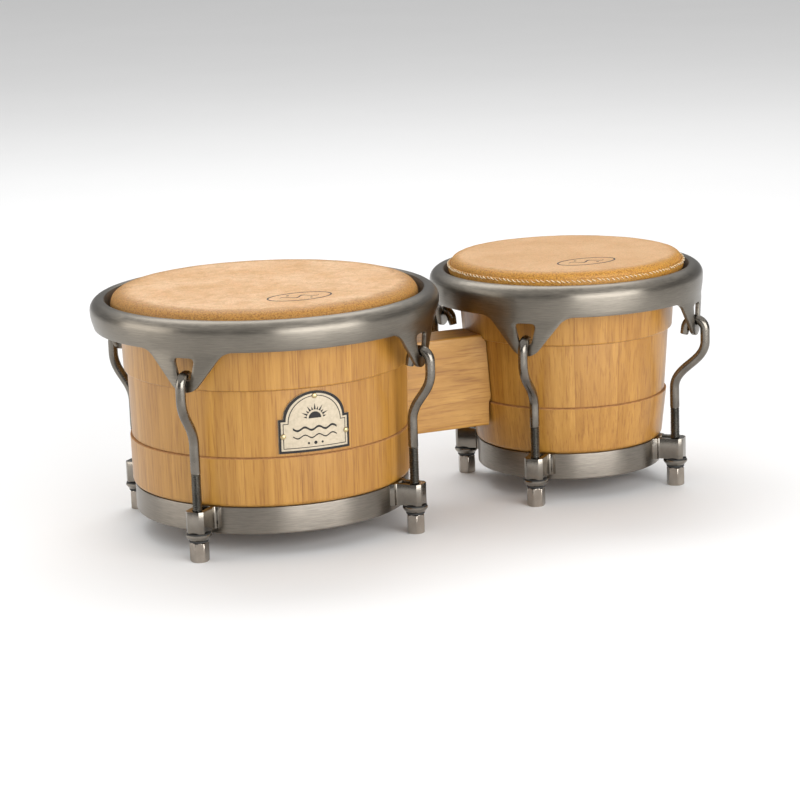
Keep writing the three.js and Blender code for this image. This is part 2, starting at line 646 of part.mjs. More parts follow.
place("centre_block", geometryOf(cutFrom(centreBlock(), boltHoles)), BLOCK_WOOD, bongos);
for (const bolt of BOLTS) place(bolt.name, geometryOf(boltSolid(bolt)), DARK_STEEL, bongos);
place("badge", geometryOf(cutFrom(badgeSolid(), pinHoles)), BADGE_METAL, bongos);
for (const [side, spot] of Object.entries(PIN_PLACES)) {
  place(`badge_pin_${side}`, geometryOf(pinSolid(spot)), BADGE_METAL, bongos);
}

export default bongos;
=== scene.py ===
"""Bongo drums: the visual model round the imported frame. Metres, +Z up, -Y front, +X to the small drum."""

import math
import random

import bmesh
import bpy
from mathutils import Matrix, Vector, noise
from mathutils.geometry import delaunay_2d_cdt


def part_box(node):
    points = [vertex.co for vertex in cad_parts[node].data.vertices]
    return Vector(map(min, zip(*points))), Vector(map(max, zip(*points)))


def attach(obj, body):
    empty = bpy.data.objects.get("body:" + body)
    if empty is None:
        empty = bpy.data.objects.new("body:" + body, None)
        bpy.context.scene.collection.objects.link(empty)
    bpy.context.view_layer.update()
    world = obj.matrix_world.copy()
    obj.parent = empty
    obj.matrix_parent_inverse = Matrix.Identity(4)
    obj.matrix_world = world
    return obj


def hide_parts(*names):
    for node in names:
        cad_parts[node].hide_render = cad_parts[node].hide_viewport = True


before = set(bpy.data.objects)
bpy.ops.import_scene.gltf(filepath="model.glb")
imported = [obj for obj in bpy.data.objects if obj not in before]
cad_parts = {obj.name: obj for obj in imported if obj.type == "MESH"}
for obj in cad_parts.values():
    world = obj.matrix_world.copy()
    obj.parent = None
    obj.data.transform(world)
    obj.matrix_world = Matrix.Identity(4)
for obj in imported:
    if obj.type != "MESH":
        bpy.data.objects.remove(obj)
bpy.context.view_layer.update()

MM = 0.001
TURN = 2 * math.pi
DRUMS = ("large", "small")
LUGS = (1, 2, 3, 4)
ROUND = 256  # steps round every turned piece
RIM_COLUMNS = 320  # steps round a rim
SHARP = math.radians(32)  # a fold sharper than this is an edge
BEVELLED = math.radians(48)  # a fold sharper than this is bevelled

# Sizes of the fine shapes that the frame's boxes don't give
FIT = 0.3 * MM
SKIN = 1.6 * MM
SKIN_BEND = {"large": 9.4 * MM, "small": 5 * MM}  # radius of the skin's bend over the shell
SKIN_SHIFT = {"large": 7, "small": 3}  # where each skin's unevenness is read from the noise
AMBER_WIDTH = {"large": 16 * MM, "small": 9 * MM}  # how far the amber reaches in over the crown
RIM_SHEET = 3 * MM
ROLL_WIDTH = 8.5 * MM
EAR_DROP = 28.5 * MM
EAR_HALF_WIDTH = 29.4 * MM
EAR_TIP_RADIUS = 13 * MM
EAR_FILLET = 14 * MM
SLOT_TOP = 4.4 * MM
SLOT_HEIGHT = 16.3 * MM
SLOT_HALF_WIDTHS = (4.2 * MM, 8.3 * MM)
ROD_RADIUS = 3.5 * MM
ROD_HOLE = 3.8 * MM  # radius of the holes that the rods pass
NUT_FLATS = 5.85 * MM  # from the nut's axis to its flats
RING_WALL = 2.2 * MM
EAR_GAP = 2.4 * MM
THREAD_PITCH = 1.25 * MM
THREAD_DEPTH = 0.65 * MM
THREAD_TOP = {"large": 0.0625, "small": 0.0595}
BEND_DROP = {"large": 11 * MM, "small": 12 * MM}
BEND_RISE = 36.5 * MM
BEND_EASE = 0.45
LOWER_LINE = 0.0708
UPPER_LINE = 0.1183
GROOVE = 0.4 * MM
FOOT_SWELL = {"large": 1.4 * MM, "small": 1.1 * MM}  # how far the shell stands out past its ring
BADGE_HALF_WIDTH = 26 * MM
BADGE_ARCH_HALF_WIDTH = 22.5 * MM
BADGE_SHOULDER = 24.1 * MM  # from the badge's lower edge up to the foot of its arch
PRINT = 0.1 * MM  # thickness of the badge's printed lines
MARK_DEPTH = 0.15 * MM  # the printed marks lie on the crown, inside the frame's box
STITCHES = 150
STAVES = {"large": 16, "small": 14}


# ---- Places round an axis ----
def polar(radius, angle, height):
    """A point at an angle round the Z axis."""
    return Vector((radius * math.cos(angle), radius * math.sin(angle), height))


def round_axis(size, point):
    """(radius, angle) of a point about the drum's axis."""
    across = point.x - size["x"]
    return math.hypot(across, point.y), math.atan2(point.y, across)


# ---- Measures from the frame ----
def centre_of(node):
    low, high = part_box(node)
    return (low + high) / 2


def radii_between(size, part, low, high):
    """The radii about the drum's axis of a part's points between two heights."""
    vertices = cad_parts[f"{size['name']}_{part}"].data.vertices
    return [round_axis(size, v.co)[0] for v in vertices if low <= v.co.z <= high]


def measure_bands(size):
    """Adds the radii of the rim's skirt and of the shell's bands."""
    edge, near = size["band_bottom"], 0.1 * MM
    size["skirt_radius"] = max(radii_between(size, "rim", edge - near, edge + near))
    flat = 0.03 * MM
    outside = size["ring_radius"] - 2 * MM  # the bore's points lie further in
    lower, upper = ([r for r in radii_between(size, "shell", line - flat, line + flat) if r > outside]
                    for line in (LOWER_LINE, UPPER_LINE))
    size["lower_high"] = max(lower)
    size["middle"] = (min(lower), min(upper))
    size["upper"] = (max(radii_between(size, "shell", UPPER_LINE + MM, UPPER_LINE + 3 * MM)),
                     max(radii_between(size, "shell", edge - MM, edge + MM)))


def measure_lugs(size):
    """Adds the lugs' angles and the radii at which rods and hooks stand."""
    size["lugs"] = []
    for lug in LUGS:
        size["rod_circle"], angle = round_axis(size, centre_of(f"{size['name']}_nut_{lug}"))
        size["lugs"].append(angle)
    size["hook_outer"] = size["skirt_radius"] + EAR_GAP + ROD_RADIUS
    size["hook_inner"] = size["skirt_radius"] - RIM_SHEET - EAR_GAP - ROD_RADIUS


def measure(drum):
    """The drum's sizes, read from its CAD nodes."""
    size = {"name": drum}
    parts = {"base_ring": "ring", "shell": "shell", "flesh_hoop": "hoop", "head": "head", "rim": "rim"}
    for node, part in parts.items():
        low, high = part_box(f"{drum}_{node}")
        size[part + "_radius"] = (high.x - low.x) / 2
        size[part + "_low"], size[part + "_high"] = low.z, high.z
        size["x"] = (low.x + high.x) / 2
    size["axis"] = (size["x"], 0, 0)
    size["band_bottom"] = size["rim_low"] + EAR_DROP
    size["skin_radius"] = size["shell_radius"] + FIT + SKIN
    size["hoop_bar"] = size["hoop_high"] - size["hoop_low"]
    size["leg_inner"] = size["hoop_radius"] - size["hoop_bar"] / 2 - RIM_SHEET / 2
    size["tuck_radius"] = min(size["skin_radius"] + 3 * MM, size["leg_inner"] - 0.4 * MM)
    size["tuck_top"] = size["rim_high"] + 3.4 * MM
    measure_bands(size)
    measure_lugs(size)
    return size


SIZE = {drum: measure(drum) for drum in DRUMS}


# ---- Camera ----
def make_camera():
    """Looks at the drums from the front left and a little above, as through a long lens."""
    azimuth, elevation, roll = (math.radians(a) for a in (-22.66, 12.70, -1.95))
    target, distance, lens = Vector((-0.0067, 0, 0.0772)), 1.960, 119.46
    back = Vector((math.sin(azimuth) * math.cos(elevation),
                   -math.cos(azimuth) * math.cos(elevation), math.sin(elevation)))
    right = Vector((0, 0, 1)).cross(back).normalized()
    up = back.cross(right)
    rolled_right = math.cos(roll) * right + math.sin(roll) * up
    rolled_up = math.cos(roll) * up - math.sin(roll) * right
    data = bpy.data.cameras.new("camera")
    data.lens = lens
    data.sensor_width = 36
    data.clip_start, data.clip_end = 0.1, 20
    camera = bpy.data.objects.new("camera", data)
    bpy.context.scene.collection.objects.link(camera)
    turn = Matrix((rolled_right, rolled_up, back)).transposed().to_4x4()
    camera.matrix_world = Matrix.Translation(target + back * distance) @ turn
    bpy.context.scene.camera = camera
    bpy.context.scene.view_settings.view_transform = "Standard"


make_camera()


# ---- Mesh helpers ----
def finish_mesh(name, verts, faces, slots=None, origin=(0, 0, 0), merge=1e-6, bevel=0):
    """A mesh object from points and faces, with outward faces and smooth shading between its edges."""
    mesh = bpy.data.meshes.new(name)
    mesh.from_pydata([tuple(v) for v in verts], [], faces)
    if slots:
        mesh.polygons.foreach_set("material_index", slots)
    work = bmesh.new()
    work.from_mesh(mesh)
    bmesh.ops.remove_doubles(work, verts=work.verts, dist=merge)
    bmesh.ops.recalc_face_normals(work, faces=work.faces)
    if bevel:
        edges = [e for e in work.edges if len(e.link_faces) == 2 and e.calc_face_angle() > BEVELLED]
        bmesh.ops.bevel(work, geom=edges, offset=bevel, segments=2, profile=0.5, affect="EDGES",
                        clamp_overlap=True)
    work.to_mesh(mesh)
    work.free()
    mesh.shade_smooth()
    mesh.set_sharp_from_angle(angle=SHARP)
    piece = bpy.data.objects.new(name, mesh)
    piece.location = origin
    bpy.context.scene.collection.objects.link(piece)
    return piece


def put(piece, body, slot, looks, *nodes):
    """Gives a piece its materials by name, its body and the CAD nodes that it stands for; the slot argument
    is not used.
    """
    for look in looks:
        piece.data.materials.append(MATERIALS[look])
    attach(piece, body)
    if nodes:
        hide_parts(*nodes)


def arc(centre, radius, start, end, steps):
    """Points of an arc, with its angles in degrees."""
    points = []
    for i in range(steps + 1):
        angle = math.radians(start + (end - start) * i / steps)
        points.append((centre[0] + radius * math.cos(angle), centre[1] + radius * math.sin(angle)))
    return points


def rounded(corners, steps=4):
    """A closed outline from (x, y, radius) corners, each corner an arc of that radius."""
    points = []
    for i, (x, y, radius) in enumerate(corners):
        here = Vector((x, y))
        before = Vector(corners[i - 1][:2]) - here
        after = Vector(corners[(i + 1) % len(corners)][:2]) - here
        angle = before.angle(after)
        if radius <= 0 or angle > math.radians(178):
            points.append((x, y))
            continue
        reach = min(radius / math.tan(angle / 2), 0.48 * before.length, 0.48 * after.length)
        start, end = here + before.normalized() * reach, here + after.normalized() * reach
        for k in range(steps + 1):
            t = k / steps
            points.append(tuple(start.lerp(here, t).lerp(here.lerp(end, t), t)))
    return points


def turned(name, profile, origin=(0, 0, 0), steps=ROUND, slot_of=None, wobble=None):
    """A solid turned about Z from a closed outline of (radius, height) points; radius 0 is on the axis."""
    rows, verts = [], []
    for r, z in profile:
        if r <= 0:
            rows.append([len(verts)] * steps)
            verts.append((0, 0, z))
            continue
        rows.append(list(range(len(verts), len(verts) + steps)))
        for i in range(steps):
            angle = TURN * i / steps
            radius, height = wobble(r, z, angle) if wobble else (r, z)
            verts.append(polar(radius, angle, height))
    faces, slots = [], []
    for j, row in enumerate(rows):
        here, there = profile[j], profile[(j + 1) % len(rows)]
        above = rows[(j + 1) % len(rows)]
        if here[0] <= 0 and there[0] <= 0:
            continue
        for i in range(steps):
            k = (i + 1) % steps
            faces.append(list(dict.fromkeys((row[i], row[k], above[k], above[i]))))
            slots.append(slot_of(here, there) if slot_of else 0)
    return finish_mesh(name, verts, faces, slots, origin)


def cut_sheet(loops, fill=()):
    """Points and triangles of the area inside the first loop and outside the others."""
    flat, edges = [], []
    for loop in loops:
        start = len(flat)
        flat += [Vector(p) for p in loop]
        edges += [(start + i, start + (i + 1) % len(loop)) for i in range(len(loop))]
    flat += [Vector(p) for p in fill]
    points, _, triangles, *_ = delaunay_2d_cdt(flat, edges, [], 1, 1e-7)
    keep = [t for t in triangles if inside(sum((points[i] for i in t), Vector((0, 0))) / 3, loops)]
    return points, keep


def slabs(cutouts, low, high, fill_of=None):
    """Points and faces of cut-outs between two surfaces; low and high place a flat point on them."""
    verts, faces = [], []
    for loops in cutouts:
        points, keep = cut_sheet(loops, fill_of(loops) if fill_of else ())
        count, start = len(points), len(verts)
        verts += [low(p) for p in points] + [high(p) for p in points]
        faces += [tuple(start + i for i in reversed(t)) for t in keep]
        faces += [tuple(start + i + count for i in t) for t in keep]
        faces += [(start + a, start + b, start + b + count, start + a + count) for a, b in border(keep)]
    return verts, faces


def level(place, height):
    """Sets flat points at a height and moves them by the matrix place."""
    return lambda p: place @ Vector((p.x, p.y, height))


def grid_inside(loops, step=1.5 * MM):
    """Points of a square grid inside a cut-out, so that it can bend."""
    xs, ys = zip(*loops[0])
    counts = [math.ceil((max(line) - min(line)) / step) for line in (xs, ys)]
    grid = [Vector((min(xs) + i * step, min(ys) + k * step))
            for i in range(counts[0]) for k in range(counts[1])]
    return [point for point in grid if inside(point, loops)]


def inside(point, loops):
    """Whether a point is inside the first loop and outside the others."""
    hit = False
    for loop in loops:
        for i, a in enumerate(loop):
            b = loop[i - 1]
            if (a[1] > point.y) != (b[1] > point.y):
                if point.x < (b[0] - a[0]) * (point.y - a[1]) / (b[1] - a[1]) + a[0]:
                    hit = not hit
    return hit


def border(triangles):
    """The directed edges that only one triangle has."""
    edges = {(t[i - 1], t[i]) for t in triangles for i in range(len(t))}
    return sorted(e for e in edges if (e[1], e[0]) not in edges)


def tube(path, radius_at, sides, across):
    """Points and faces of a round bar along a path.

    radius_at takes (section, angle), and across gives a section's two directions from (point, way ahead).
    """
    verts, faces = [], []
    for i, point in enumerate(path):
        ahead = path[min(i + 1, len(path) - 1)] - path[max(i - 1, 0)]
        first, second = across(point, ahead.normalized())
        for k in range(sides):
            angle = TURN * k / sides
            way = first * math.cos(angle) + second * math.sin(angle)
            verts.append(point + way * radius_at(i, angle))
    for i in range(len(path) - 1):
        for k in range(sides):
            a, b = i * sides + k, i * sides + (k + 1) % sides
            faces.append((a, b, b + sides, a + sides))
    faces.append(tuple(reversed(range(sides))))
    faces.append(tuple(range(len(verts) - sides, len(verts))))
    return verts, faces


def at_lug(size, lug):
    """Moves a piece made on the drum's +X side to one of its lugs."""
    return Matrix.Translation(size["axis"]) @ Matrix.Rotation(size["lugs"][lug - 1], 4, "Z")


# ---- Materials ----
class Nodes:
    """Short ways to add and join a material's nodes."""

    def __init__(self, name):
        self.material = bpy.data.materials.new(name)
        self.material.use_nodes = True
        self.tree = self.material.node_tree
        self.shader = self.tree.nodes["Principled BSDF"]
        self.object = self.add("TexCoord").outputs["Object"]

    def add(self, kind, settings=None, **inputs):
        node = self.tree.nodes.new("ShaderNode" + kind)
        for key, value in (settings or {}).items():
            setattr(node, key, value)
        for key, value in inputs.items():
            self.feed(node.inputs[key.replace("_", " ")], value)
        return node

    def feed(self, socket, value):
        """Links a socket, or sets it from a number or a tuple."""
        if isinstance(value, bpy.types.NodeSocket):
            self.tree.links.new(value, socket)
        elif hasattr(socket.default_value, "__len__"):
            channels = len(socket.default_value)
            full = (*value, 1) if hasattr(value, "__len__") else (value,) * channels
            socket.default_value = full[:channels]
        else:
            socket.default_value = value

    def maths(self, operation, *values):
        node = self.add("Math", {"operation": operation})
        for socket, value in zip(node.inputs, values):
            self.feed(socket, value)
        return node.outputs[0]

    def split(self, vector):
        return self.add("SeparateXYZ", Vector=vector).outputs

    def join(self, x, y, z):
        return self.add("CombineXYZ", X=x, Y=y, Z=z).outputs[0]

    def scaled(self, x=1.0, y=1.0, z=1.0):
        """The object's coordinates, each times a factor."""
        node = self.add("VectorMath", {"operation": "MULTIPLY"})
        self.feed(node.inputs[0], self.object)
        self.feed(node.inputs[1], (x, y, z))
        return node.outputs[0]

    def remap(self, value, low, high, to_low=0.0, to_high=1.0):
        """The value moved from one range to another and kept inside it."""
        node = self.add("MapRange", Value=value, From_Min=low, From_Max=high, To_Min=to_low, To_Max=to_high)
        return node.outputs[0]

    def noise(self, vector, scale, detail=4.0, roughness=0.55, distortion=0.0):
        node = self.add("TexNoise", Vector=vector, Scale=scale, Detail=detail, Roughness=roughness,
                        Distortion=distortion)
        return node.outputs["Fac"]

    def ramp(self, value, *stops):
        """A colour ramp through (position, colour) stops; a colour may be a plain number."""
        node = self.add("ValToRGB", Fac=value)
        elements = node.color_ramp.elements
        while len(elements) < len(stops):
            elements.new(0.5)
        for element, (position, colour) in zip(elements, stops):
            element.position = position
            element.color = (*colour, 1) if hasattr(colour, "__len__") else (colour, colour, colour, 1)
        return node.outputs["Color"]

    def mix(self, share, a, b, blend="MIX"):
        node = self.add("Mix", {"data_type": "RGBA", "blend_type": blend})
        for index, value in ((0, share), (6, a), (7, b)):
            self.feed(node.inputs[index], value)
        return node.outputs[2]

    def bump(self, height, strength, distance, normal=None):
        node = self.add("Bump", Height=height, Strength=strength, Distance=distance)
        if normal:
            self.feed(node.inputs["Normal"], normal)
        return node.outputs[0]

    def set(self, **inputs):
        for key, value in inputs.items():
            self.feed(self.shader.inputs[key.replace("_", " ")], value)
        return self.material


def around(nodes):
    """(unit direction x, unit direction y, radius, height) of a point, about the object's Z axis."""
    x, y, z = nodes.split(nodes.object)
    squares = nodes.maths("MULTIPLY", x, x), nodes.maths("MULTIPLY", y, y)
    radius = nodes.maths("SQRT", nodes.maths("ADD", *squares))
    safe = nodes.maths("MAXIMUM", radius, 1e-5)
    return nodes.maths("DIVIDE", x, safe), nodes.maths("DIVIDE", y, safe), radius, z


WOOD_DARK = (0.30, 0.132, 0.017)
WOOD_MID = (0.385, 0.186, 0.029)
WOOD_LIGHT = (0.49, 0.260, 0.053)


def wood_colour(nodes, grain, fine, tint):
    """The wood's colour from broad figure, fine pores and a tint for each board, all 0 to 1."""
    figure = nodes.ramp(grain, (0.25, WOOD_DARK), (0.47, WOOD_MID), (0.74, WOOD_LIGHT))
    tints = nodes.ramp(tint, (0.0, (0.92, 0.87, 0.74)), (1.0, (1.08, 1.09, 1.12)))
    pores = nodes.ramp(fine, (0.35, (0.77, 0.69, 0.60)), (0.48, (1.0, 1.0, 1.0)))
    return nodes.mix(1.0, nodes.mix(1.0, figure, tints, "MULTIPLY"), pores, "MULTIPLY")


def shell_wood(drum):
    """Upright staves, each with its own tint and run of grain."""
    nodes = Nodes(f"{drum}_shell_wood")
    x, y, z = nodes.split(nodes.object)
    turn = nodes.maths("DIVIDE", nodes.maths("ARCTAN2", y, x), TURN)
    place = nodes.maths("ADD", nodes.maths("MULTIPLY", turn, float(STAVES[drum])), 0.37)
    stave = nodes.maths("FLOOR", place)
    across = nodes.maths("FRACT", place)
    tint = nodes.add("TexWhiteNoise", {"noise_dimensions": "1D"}, W=stave).outputs["Value"]
    moved = nodes.maths("MULTIPLY_ADD", tint, 3.1, x)
    broad = nodes.noise(nodes.join(moved, y, nodes.maths("MULTIPLY", z, 0.03)), 190.0, 6.0, 0.65, 0.1)
    fine = nodes.noise(nodes.join(moved, y, nodes.maths("MULTIPLY", z, 0.035)), 820.0, 3.0, 0.6)
    colour = wood_colour(nodes, broad, fine, tint)
    seam = nodes.maths("MINIMUM", across, nodes.maths("SUBTRACT", 1.0, across))
    line = nodes.ramp(seam, (0.0, (0.72, 0.62, 0.52)), (0.012, (1.0, 1.0, 1.0)))
    colour = nodes.mix(1.0, colour, line, "MULTIPLY")
    return nodes.set(Base_Color=colour, Roughness=0.42, Coat_Weight=0.28, Coat_Roughness=0.28,
                     Normal=nodes.bump(fine, 0.12, 0.0004))


def block_wood():
    """Grain along the block, in long waves."""
    nodes = Nodes("block_wood")
    broad = nodes.noise(nodes.scaled(x=0.16), 120.0, 5.0, 0.6, 0.9)
    fine = nodes.noise(nodes.scaled(x=0.05), 700.0, 3.0, 0.6)
    even = nodes.ramp(broad, (0.0, 0.5), (1.0, 0.85))
    colour = wood_colour(nodes, broad, fine, even)
    return nodes.set(Base_Color=colour, Roughness=0.46, Coat_Weight=0.25, Coat_Roughness=0.3,
                     Normal=nodes.bump(fine, 0.15, 0.0004))


def groove_wood():
    nodes = Nodes("groove_wood")
    stain = nodes.noise(nodes.object, 400.0)
    colour = nodes.ramp(stain, (0.3, (0.27, 0.125, 0.036)), (0.7, (0.42, 0.20, 0.062)))
    return nodes.set(Base_Color=colour, Roughness=0.7)


def inner_wood():
    """The bare inside of the shells."""
    nodes = Nodes("inner_wood")
    grain = nodes.noise(nodes.scaled(z=0.06), 180.0, 5.0, 0.6)
    colour = nodes.ramp(grain, (0.3, (0.40, 0.24, 0.11)), (0.7, (0.58, 0.38, 0.20)))
    return nodes.set(Base_Color=colour, Roughness=0.8, Normal=nodes.bump(grain, 0.3, 0.0005))


STEEL = (0.235, 0.212, 0.178)


def brushed_steel(name, colour=STEEL, fineness=2600.0, roughness=0.34):
    """Dark nickel brushed round the drum, with faint broad patches of painted reflection, lighter and
    darker, in its colour.
    """
    nodes = Nodes(name)
    x, y, radius, z = around(nodes)
    rise = nodes.maths("MULTIPLY_ADD", radius, 0.8, z)
    drawn = nodes.join(nodes.maths("MULTIPLY", x, 0.004), nodes.maths("MULTIPLY", y, 0.004), rise)
    lines = nodes.noise(drawn, fineness, 3.0, 0.65)
    # Painted reflection: broad lighter and darker patches multiplied into the steel's colour, mixed with
    # the real brush lines.
    painted_reflection_patches = nodes.noise(nodes.object, 28.0, 3.0, 0.55)
    streaks = nodes.ramp(lines, (0.25, 0.70), (0.75, 1.15))
    shade = nodes.mix(0.55, streaks, nodes.ramp(painted_reflection_patches, (0.3, 0.85), (0.7, 1.1)), "MULTIPLY")
    tone = nodes.mix(1.0, colour, shade, "MULTIPLY")
    rough = nodes.remap(lines, 0.2, 0.8, roughness - 0.07, roughness + 0.10)
    return nodes.set(Base_Color=tone, Metallic=1.0, Roughness=rough, Normal=nodes.bump(lines, 0.10, 0.0003),
                     Anisotropic=0.75, Anisotropic_Rotation=0.25)


def cast_steel(name, colour, roughness):
    """Satin plate over pressed or turned steel, a little uneven."""
    nodes = Nodes(name)
    grain = nodes.noise(nodes.object, 900.0, 3.0, 0.6)
    patches = nodes.noise(nodes.object, 90.0, 3.0, 0.5)
    tone = nodes.mix(1.0, colour, nodes.ramp(patches, (0.3, 0.78), (0.7, 1.12)), "MULTIPLY")
    rough = nodes.remap(grain, 0.3, 0.7, roughness - 0.05, roughness + 0.08)
    return nodes.set(Base_Color=tone, Metallic=1.0, Roughness=rough, Normal=nodes.bump(grain, 0.12, 0.0002))


def rubber():
    nodes = Nodes("washer_rubber")
    grain = nodes.noise(nodes.object, 1500.0)
    return nodes.set(Base_Color=nodes.ramp(grain, (0.3, 0.012), (0.7, 0.03)), Roughness=0.6)


def rawhide(drum, pale, warm, edge, mottle):
    """Scraped skin: pale and mottled on the crown, amber and flecked where it bends over the shell."""
    size = SIZE[drum]
    amber = AMBER_WIDTH[drum]
    nodes = Nodes(f"{drum}_rawhide")
    radius = around(nodes)[2]
    blotch = nodes.noise(nodes.object, 26.0, 5.0, 0.62, 0.4)
    veins = nodes.noise(nodes.object, 95.0, 6.0, 0.7, 1.2)
    fibre = nodes.noise(nodes.object, 900.0, 3.0, 0.6)
    crown = nodes.mix(nodes.ramp(blotch, (0.38, 0.0), (0.66, 1.0)), pale, warm)
    crown = nodes.mix(mottle, crown, nodes.mix(nodes.ramp(veins, (0.46, 0.0), (0.60, 1.0)), crown, edge))
    worn = nodes.maths("ADD", radius, nodes.maths("MULTIPLY", nodes.maths("SUBTRACT", veins, 0.5), 0.008))
    rim_share = nodes.remap(worn, size["skin_radius"] - amber, size["skin_radius"] - 0.42 * amber)
    colour = nodes.mix(rim_share, crown, edge)
    flecks = nodes.ramp(fibre, (0.36, (0.50, 0.40, 0.28)), (0.5, (1.0, 1.0, 1.0)), (0.66, (1.3, 1.3, 1.35)))
    share = nodes.maths("MULTIPLY_ADD", rim_share, 0.5, 0.3)
    colour = nodes.mix(share, colour, nodes.mix(1.0, colour, flecks, "MULTIPLY"))
    bump = nodes.bump(fibre, 0.18, 0.0003, nodes.bump(veins, 0.25, 0.0008))
    return nodes.set(Base_Color=colour, Roughness=0.55, Normal=bump,
                     Subsurface_Weight=0.08, Subsurface_Scale=0.004)


def thread_cotton():
    nodes = Nodes("stitch_thread")
    twist = nodes.noise(nodes.object, 2500.0)
    colour = nodes.ramp(twist, (0.3, (0.62, 0.47, 0.28)), (0.7, (0.86, 0.74, 0.54)))
    return nodes.set(Base_Color=colour, Roughness=0.8)


def enamel(name, colour, roughness, metallic=0.0):
    """A printed or enamelled face with faint wear."""
    nodes = Nodes(name)
    wear = nodes.noise(nodes.object, 420.0, 4.0, 0.6)
    darker = tuple(0.82 * c for c in colour)
    tone = nodes.ramp(wear, (0.3, darker), (0.6, colour))
    return nodes.set(Base_Color=tone, Metallic=metallic, Roughness=roughness,
                     Normal=nodes.bump(wear, 0.05, 0.0002))


MATERIALS = {
    "large_wood": shell_wood("large"),
    "small_wood": shell_wood("small"),
    "block": block_wood(),
    "groove": groove_wood(),
    "inner": inner_wood(),
    "rim": brushed_steel("rim_steel"),
    "ring": brushed_steel("ring_steel", (0.27, 0.243, 0.208), 2200.0, 0.36),
    "rod": cast_steel("rod_steel", (0.20, 0.182, 0.157), 0.22),
    "thread": cast_steel("thread_steel", (0.14, 0.133, 0.117), 0.28),
    "bracket": cast_steel("bracket_steel", (0.25, 0.227, 0.196), 0.16),
    "nut": cast_steel("nut_steel", (0.40, 0.355, 0.305), 0.16),
    "rubber": rubber(),
    "large_hide": rawhide("large", (0.72, 0.455, 0.245), (0.62, 0.345, 0.14), (0.38, 0.18, 0.03), 0.30),
    "small_hide": rawhide("small", (0.61, 0.36, 0.165), (0.54, 0.295, 0.115), (0.44, 0.21, 0.028), 0.12),
    "stitch": thread_cotton(),
    "cream": enamel("badge_cream", (0.52, 0.44, 0.32), 0.42, 0.15),
    "black": enamel("badge_black", (0.010, 0.008, 0.007), 0.7),
    "ink": enamel("head_ink", (0.02, 0.012, 0.008), 0.6),
    "pin": cast_steel("pin_brass", (0.55, 0.44, 0.24), 0.35),
}


# ---- Shells and block ----
def shell_outline(size):
    """The shell's section: three bands with rounded lower edges, a groove at each step, and the bore."""
    seat = size["ring_radius"] - RING_WALL - FIT
    middle_low, middle_high = size["middle"]
    upper_low, upper_high = size["upper"]
    lower_low, lower_high = size["ring_radius"] + FOOT_SWELL[size["name"]], size["lower_high"]
    low, top, radius = size["shell_low"], size["shell_high"], size["shell_radius"]
    foot = size["ring_high"] + FIT
    corner = SKIN_BEND[size["name"]] - SKIN
    flare_top = min(size["band_bottom"] + 13 * MM, top - corner - 1.6 * MM)
    under, upper_under = 3.2 * MM, 1.6 * MM  # roundings under the two bands
    outside = [(seat, low), (seat, foot)]
    outside += arc((lower_low - under, foot + under), under, -80, 0, 6)
    outside += [(lower_high - 0.5 * MM, LOWER_LINE - 0.6 * MM), (lower_high - 0.9 * MM, LOWER_LINE)]
    outside += [(middle_low - GROOVE, LOWER_LINE + 0.15 * MM), (middle_low - GROOVE, LOWER_LINE + 0.4 * MM)]
    outside += [(middle_low, LOWER_LINE + 0.7 * MM), (middle_high, UPPER_LINE - 2 * MM)]
    outside += [(middle_high, UPPER_LINE - 0.3 * MM), (middle_high - GROOVE, UPPER_LINE - 0.1 * MM)]
    outside += [(middle_high - GROOVE, UPPER_LINE + 0.1 * MM)]
    outside += arc((upper_low - upper_under, UPPER_LINE + 0.1 * MM + upper_under), upper_under, -88, 0, 7)
    outside += [(upper_high, size["band_bottom"]), (radius, flare_top)]
    outside += arc((radius - corner, top - corner), corner, 0, 90, 8)
    return outside + [(radius - 10 * MM, top - 3.3 * MM), (seat - 10 * MM, low)]


def groove_face(size):
    """Which material a face of the shell takes: 0 wood, 1 groove, 2 the bore."""
    grooves = ((LOWER_LINE - 0.7 * MM, LOWER_LINE + 0.8 * MM),
               (UPPER_LINE - 0.35 * MM, UPPER_LINE + 0.15 * MM))
    bore_radius = size["shell_radius"] - 9.9 * MM

    def slot_of(a, b):
        if a[0] <= bore_radius and a[1] > size["ring_high"] and b[1] < a[1]:
            return 2
        if any(low <= a[1] <= high and low <= b[1] <= high for low, high in grooves):
            return 1
        return 0
    return slot_of


def make_shell(size):
    """A turned shell of staves, with stained grooves and a bare bore."""
    name = size["name"]
    piece = turned(f"{name}_shell_staves", shell_outline(size), size["axis"], slot_of=groove_face(size))
    put(piece, "shells", "shell_wood", [f"{name}_wood", "groove", "inner"], f"{name}_shell")


def middle_radius(size, height):
    """The radius of the shell's middle band at a height."""
    share = (height - LOWER_LINE) / (UPPER_LINE - LOWER_LINE)
    return size["middle"][0] + share * (size["middle"][1] - size["middle"][0])


def shell_radius_at(size, height):
    """The shell's outer radius at a height of the block."""
    if height > UPPER_LINE:
        return size["upper"][0]
    return middle_radius(size, height) if height > LOWER_LINE else size["lower_high"]


def make_block():
    """The block between the shells, with eased edges and ends that follow the shells."""
    low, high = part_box("centre_block")
    half, ease = (high.y - low.y) / 2, 1.8 * MM
    corners = [(-half, low.z, ease), (half, low.z, ease), (half, high.z, ease), (-half, high.z, ease)]
    outline = spaced(rounded(corners, 5), 4 * MM)
    large, small = SIZE["large"], SIZE["small"]
    stations = 24
    row = stations + 1
    verts, faces = [], []
    for j, (y, z) in enumerate(outline):
        left = large["x"] + math.sqrt((shell_radius_at(large, z) + FIT) ** 2 - y * y)
        right = small["x"] - math.sqrt((shell_radius_at(small, z) + 3 * FIT) ** 2 - y * y)
        verts += [(left + (right - left) * i / stations, y, z) for i in range(row)]
        k = (j + 1) % len(outline)
        faces += [(j * row + i, j * row + i + 1, k * row + i + 1, k * row + i) for i in range(stations)]
    faces += [tuple(j * row + end for j in range(len(outline))) for end in (0, stations)]
    piece = finish_mesh("centre_block_wood", verts, faces)
    put(piece, "shells", "block_wood", ["block"], "centre_block")


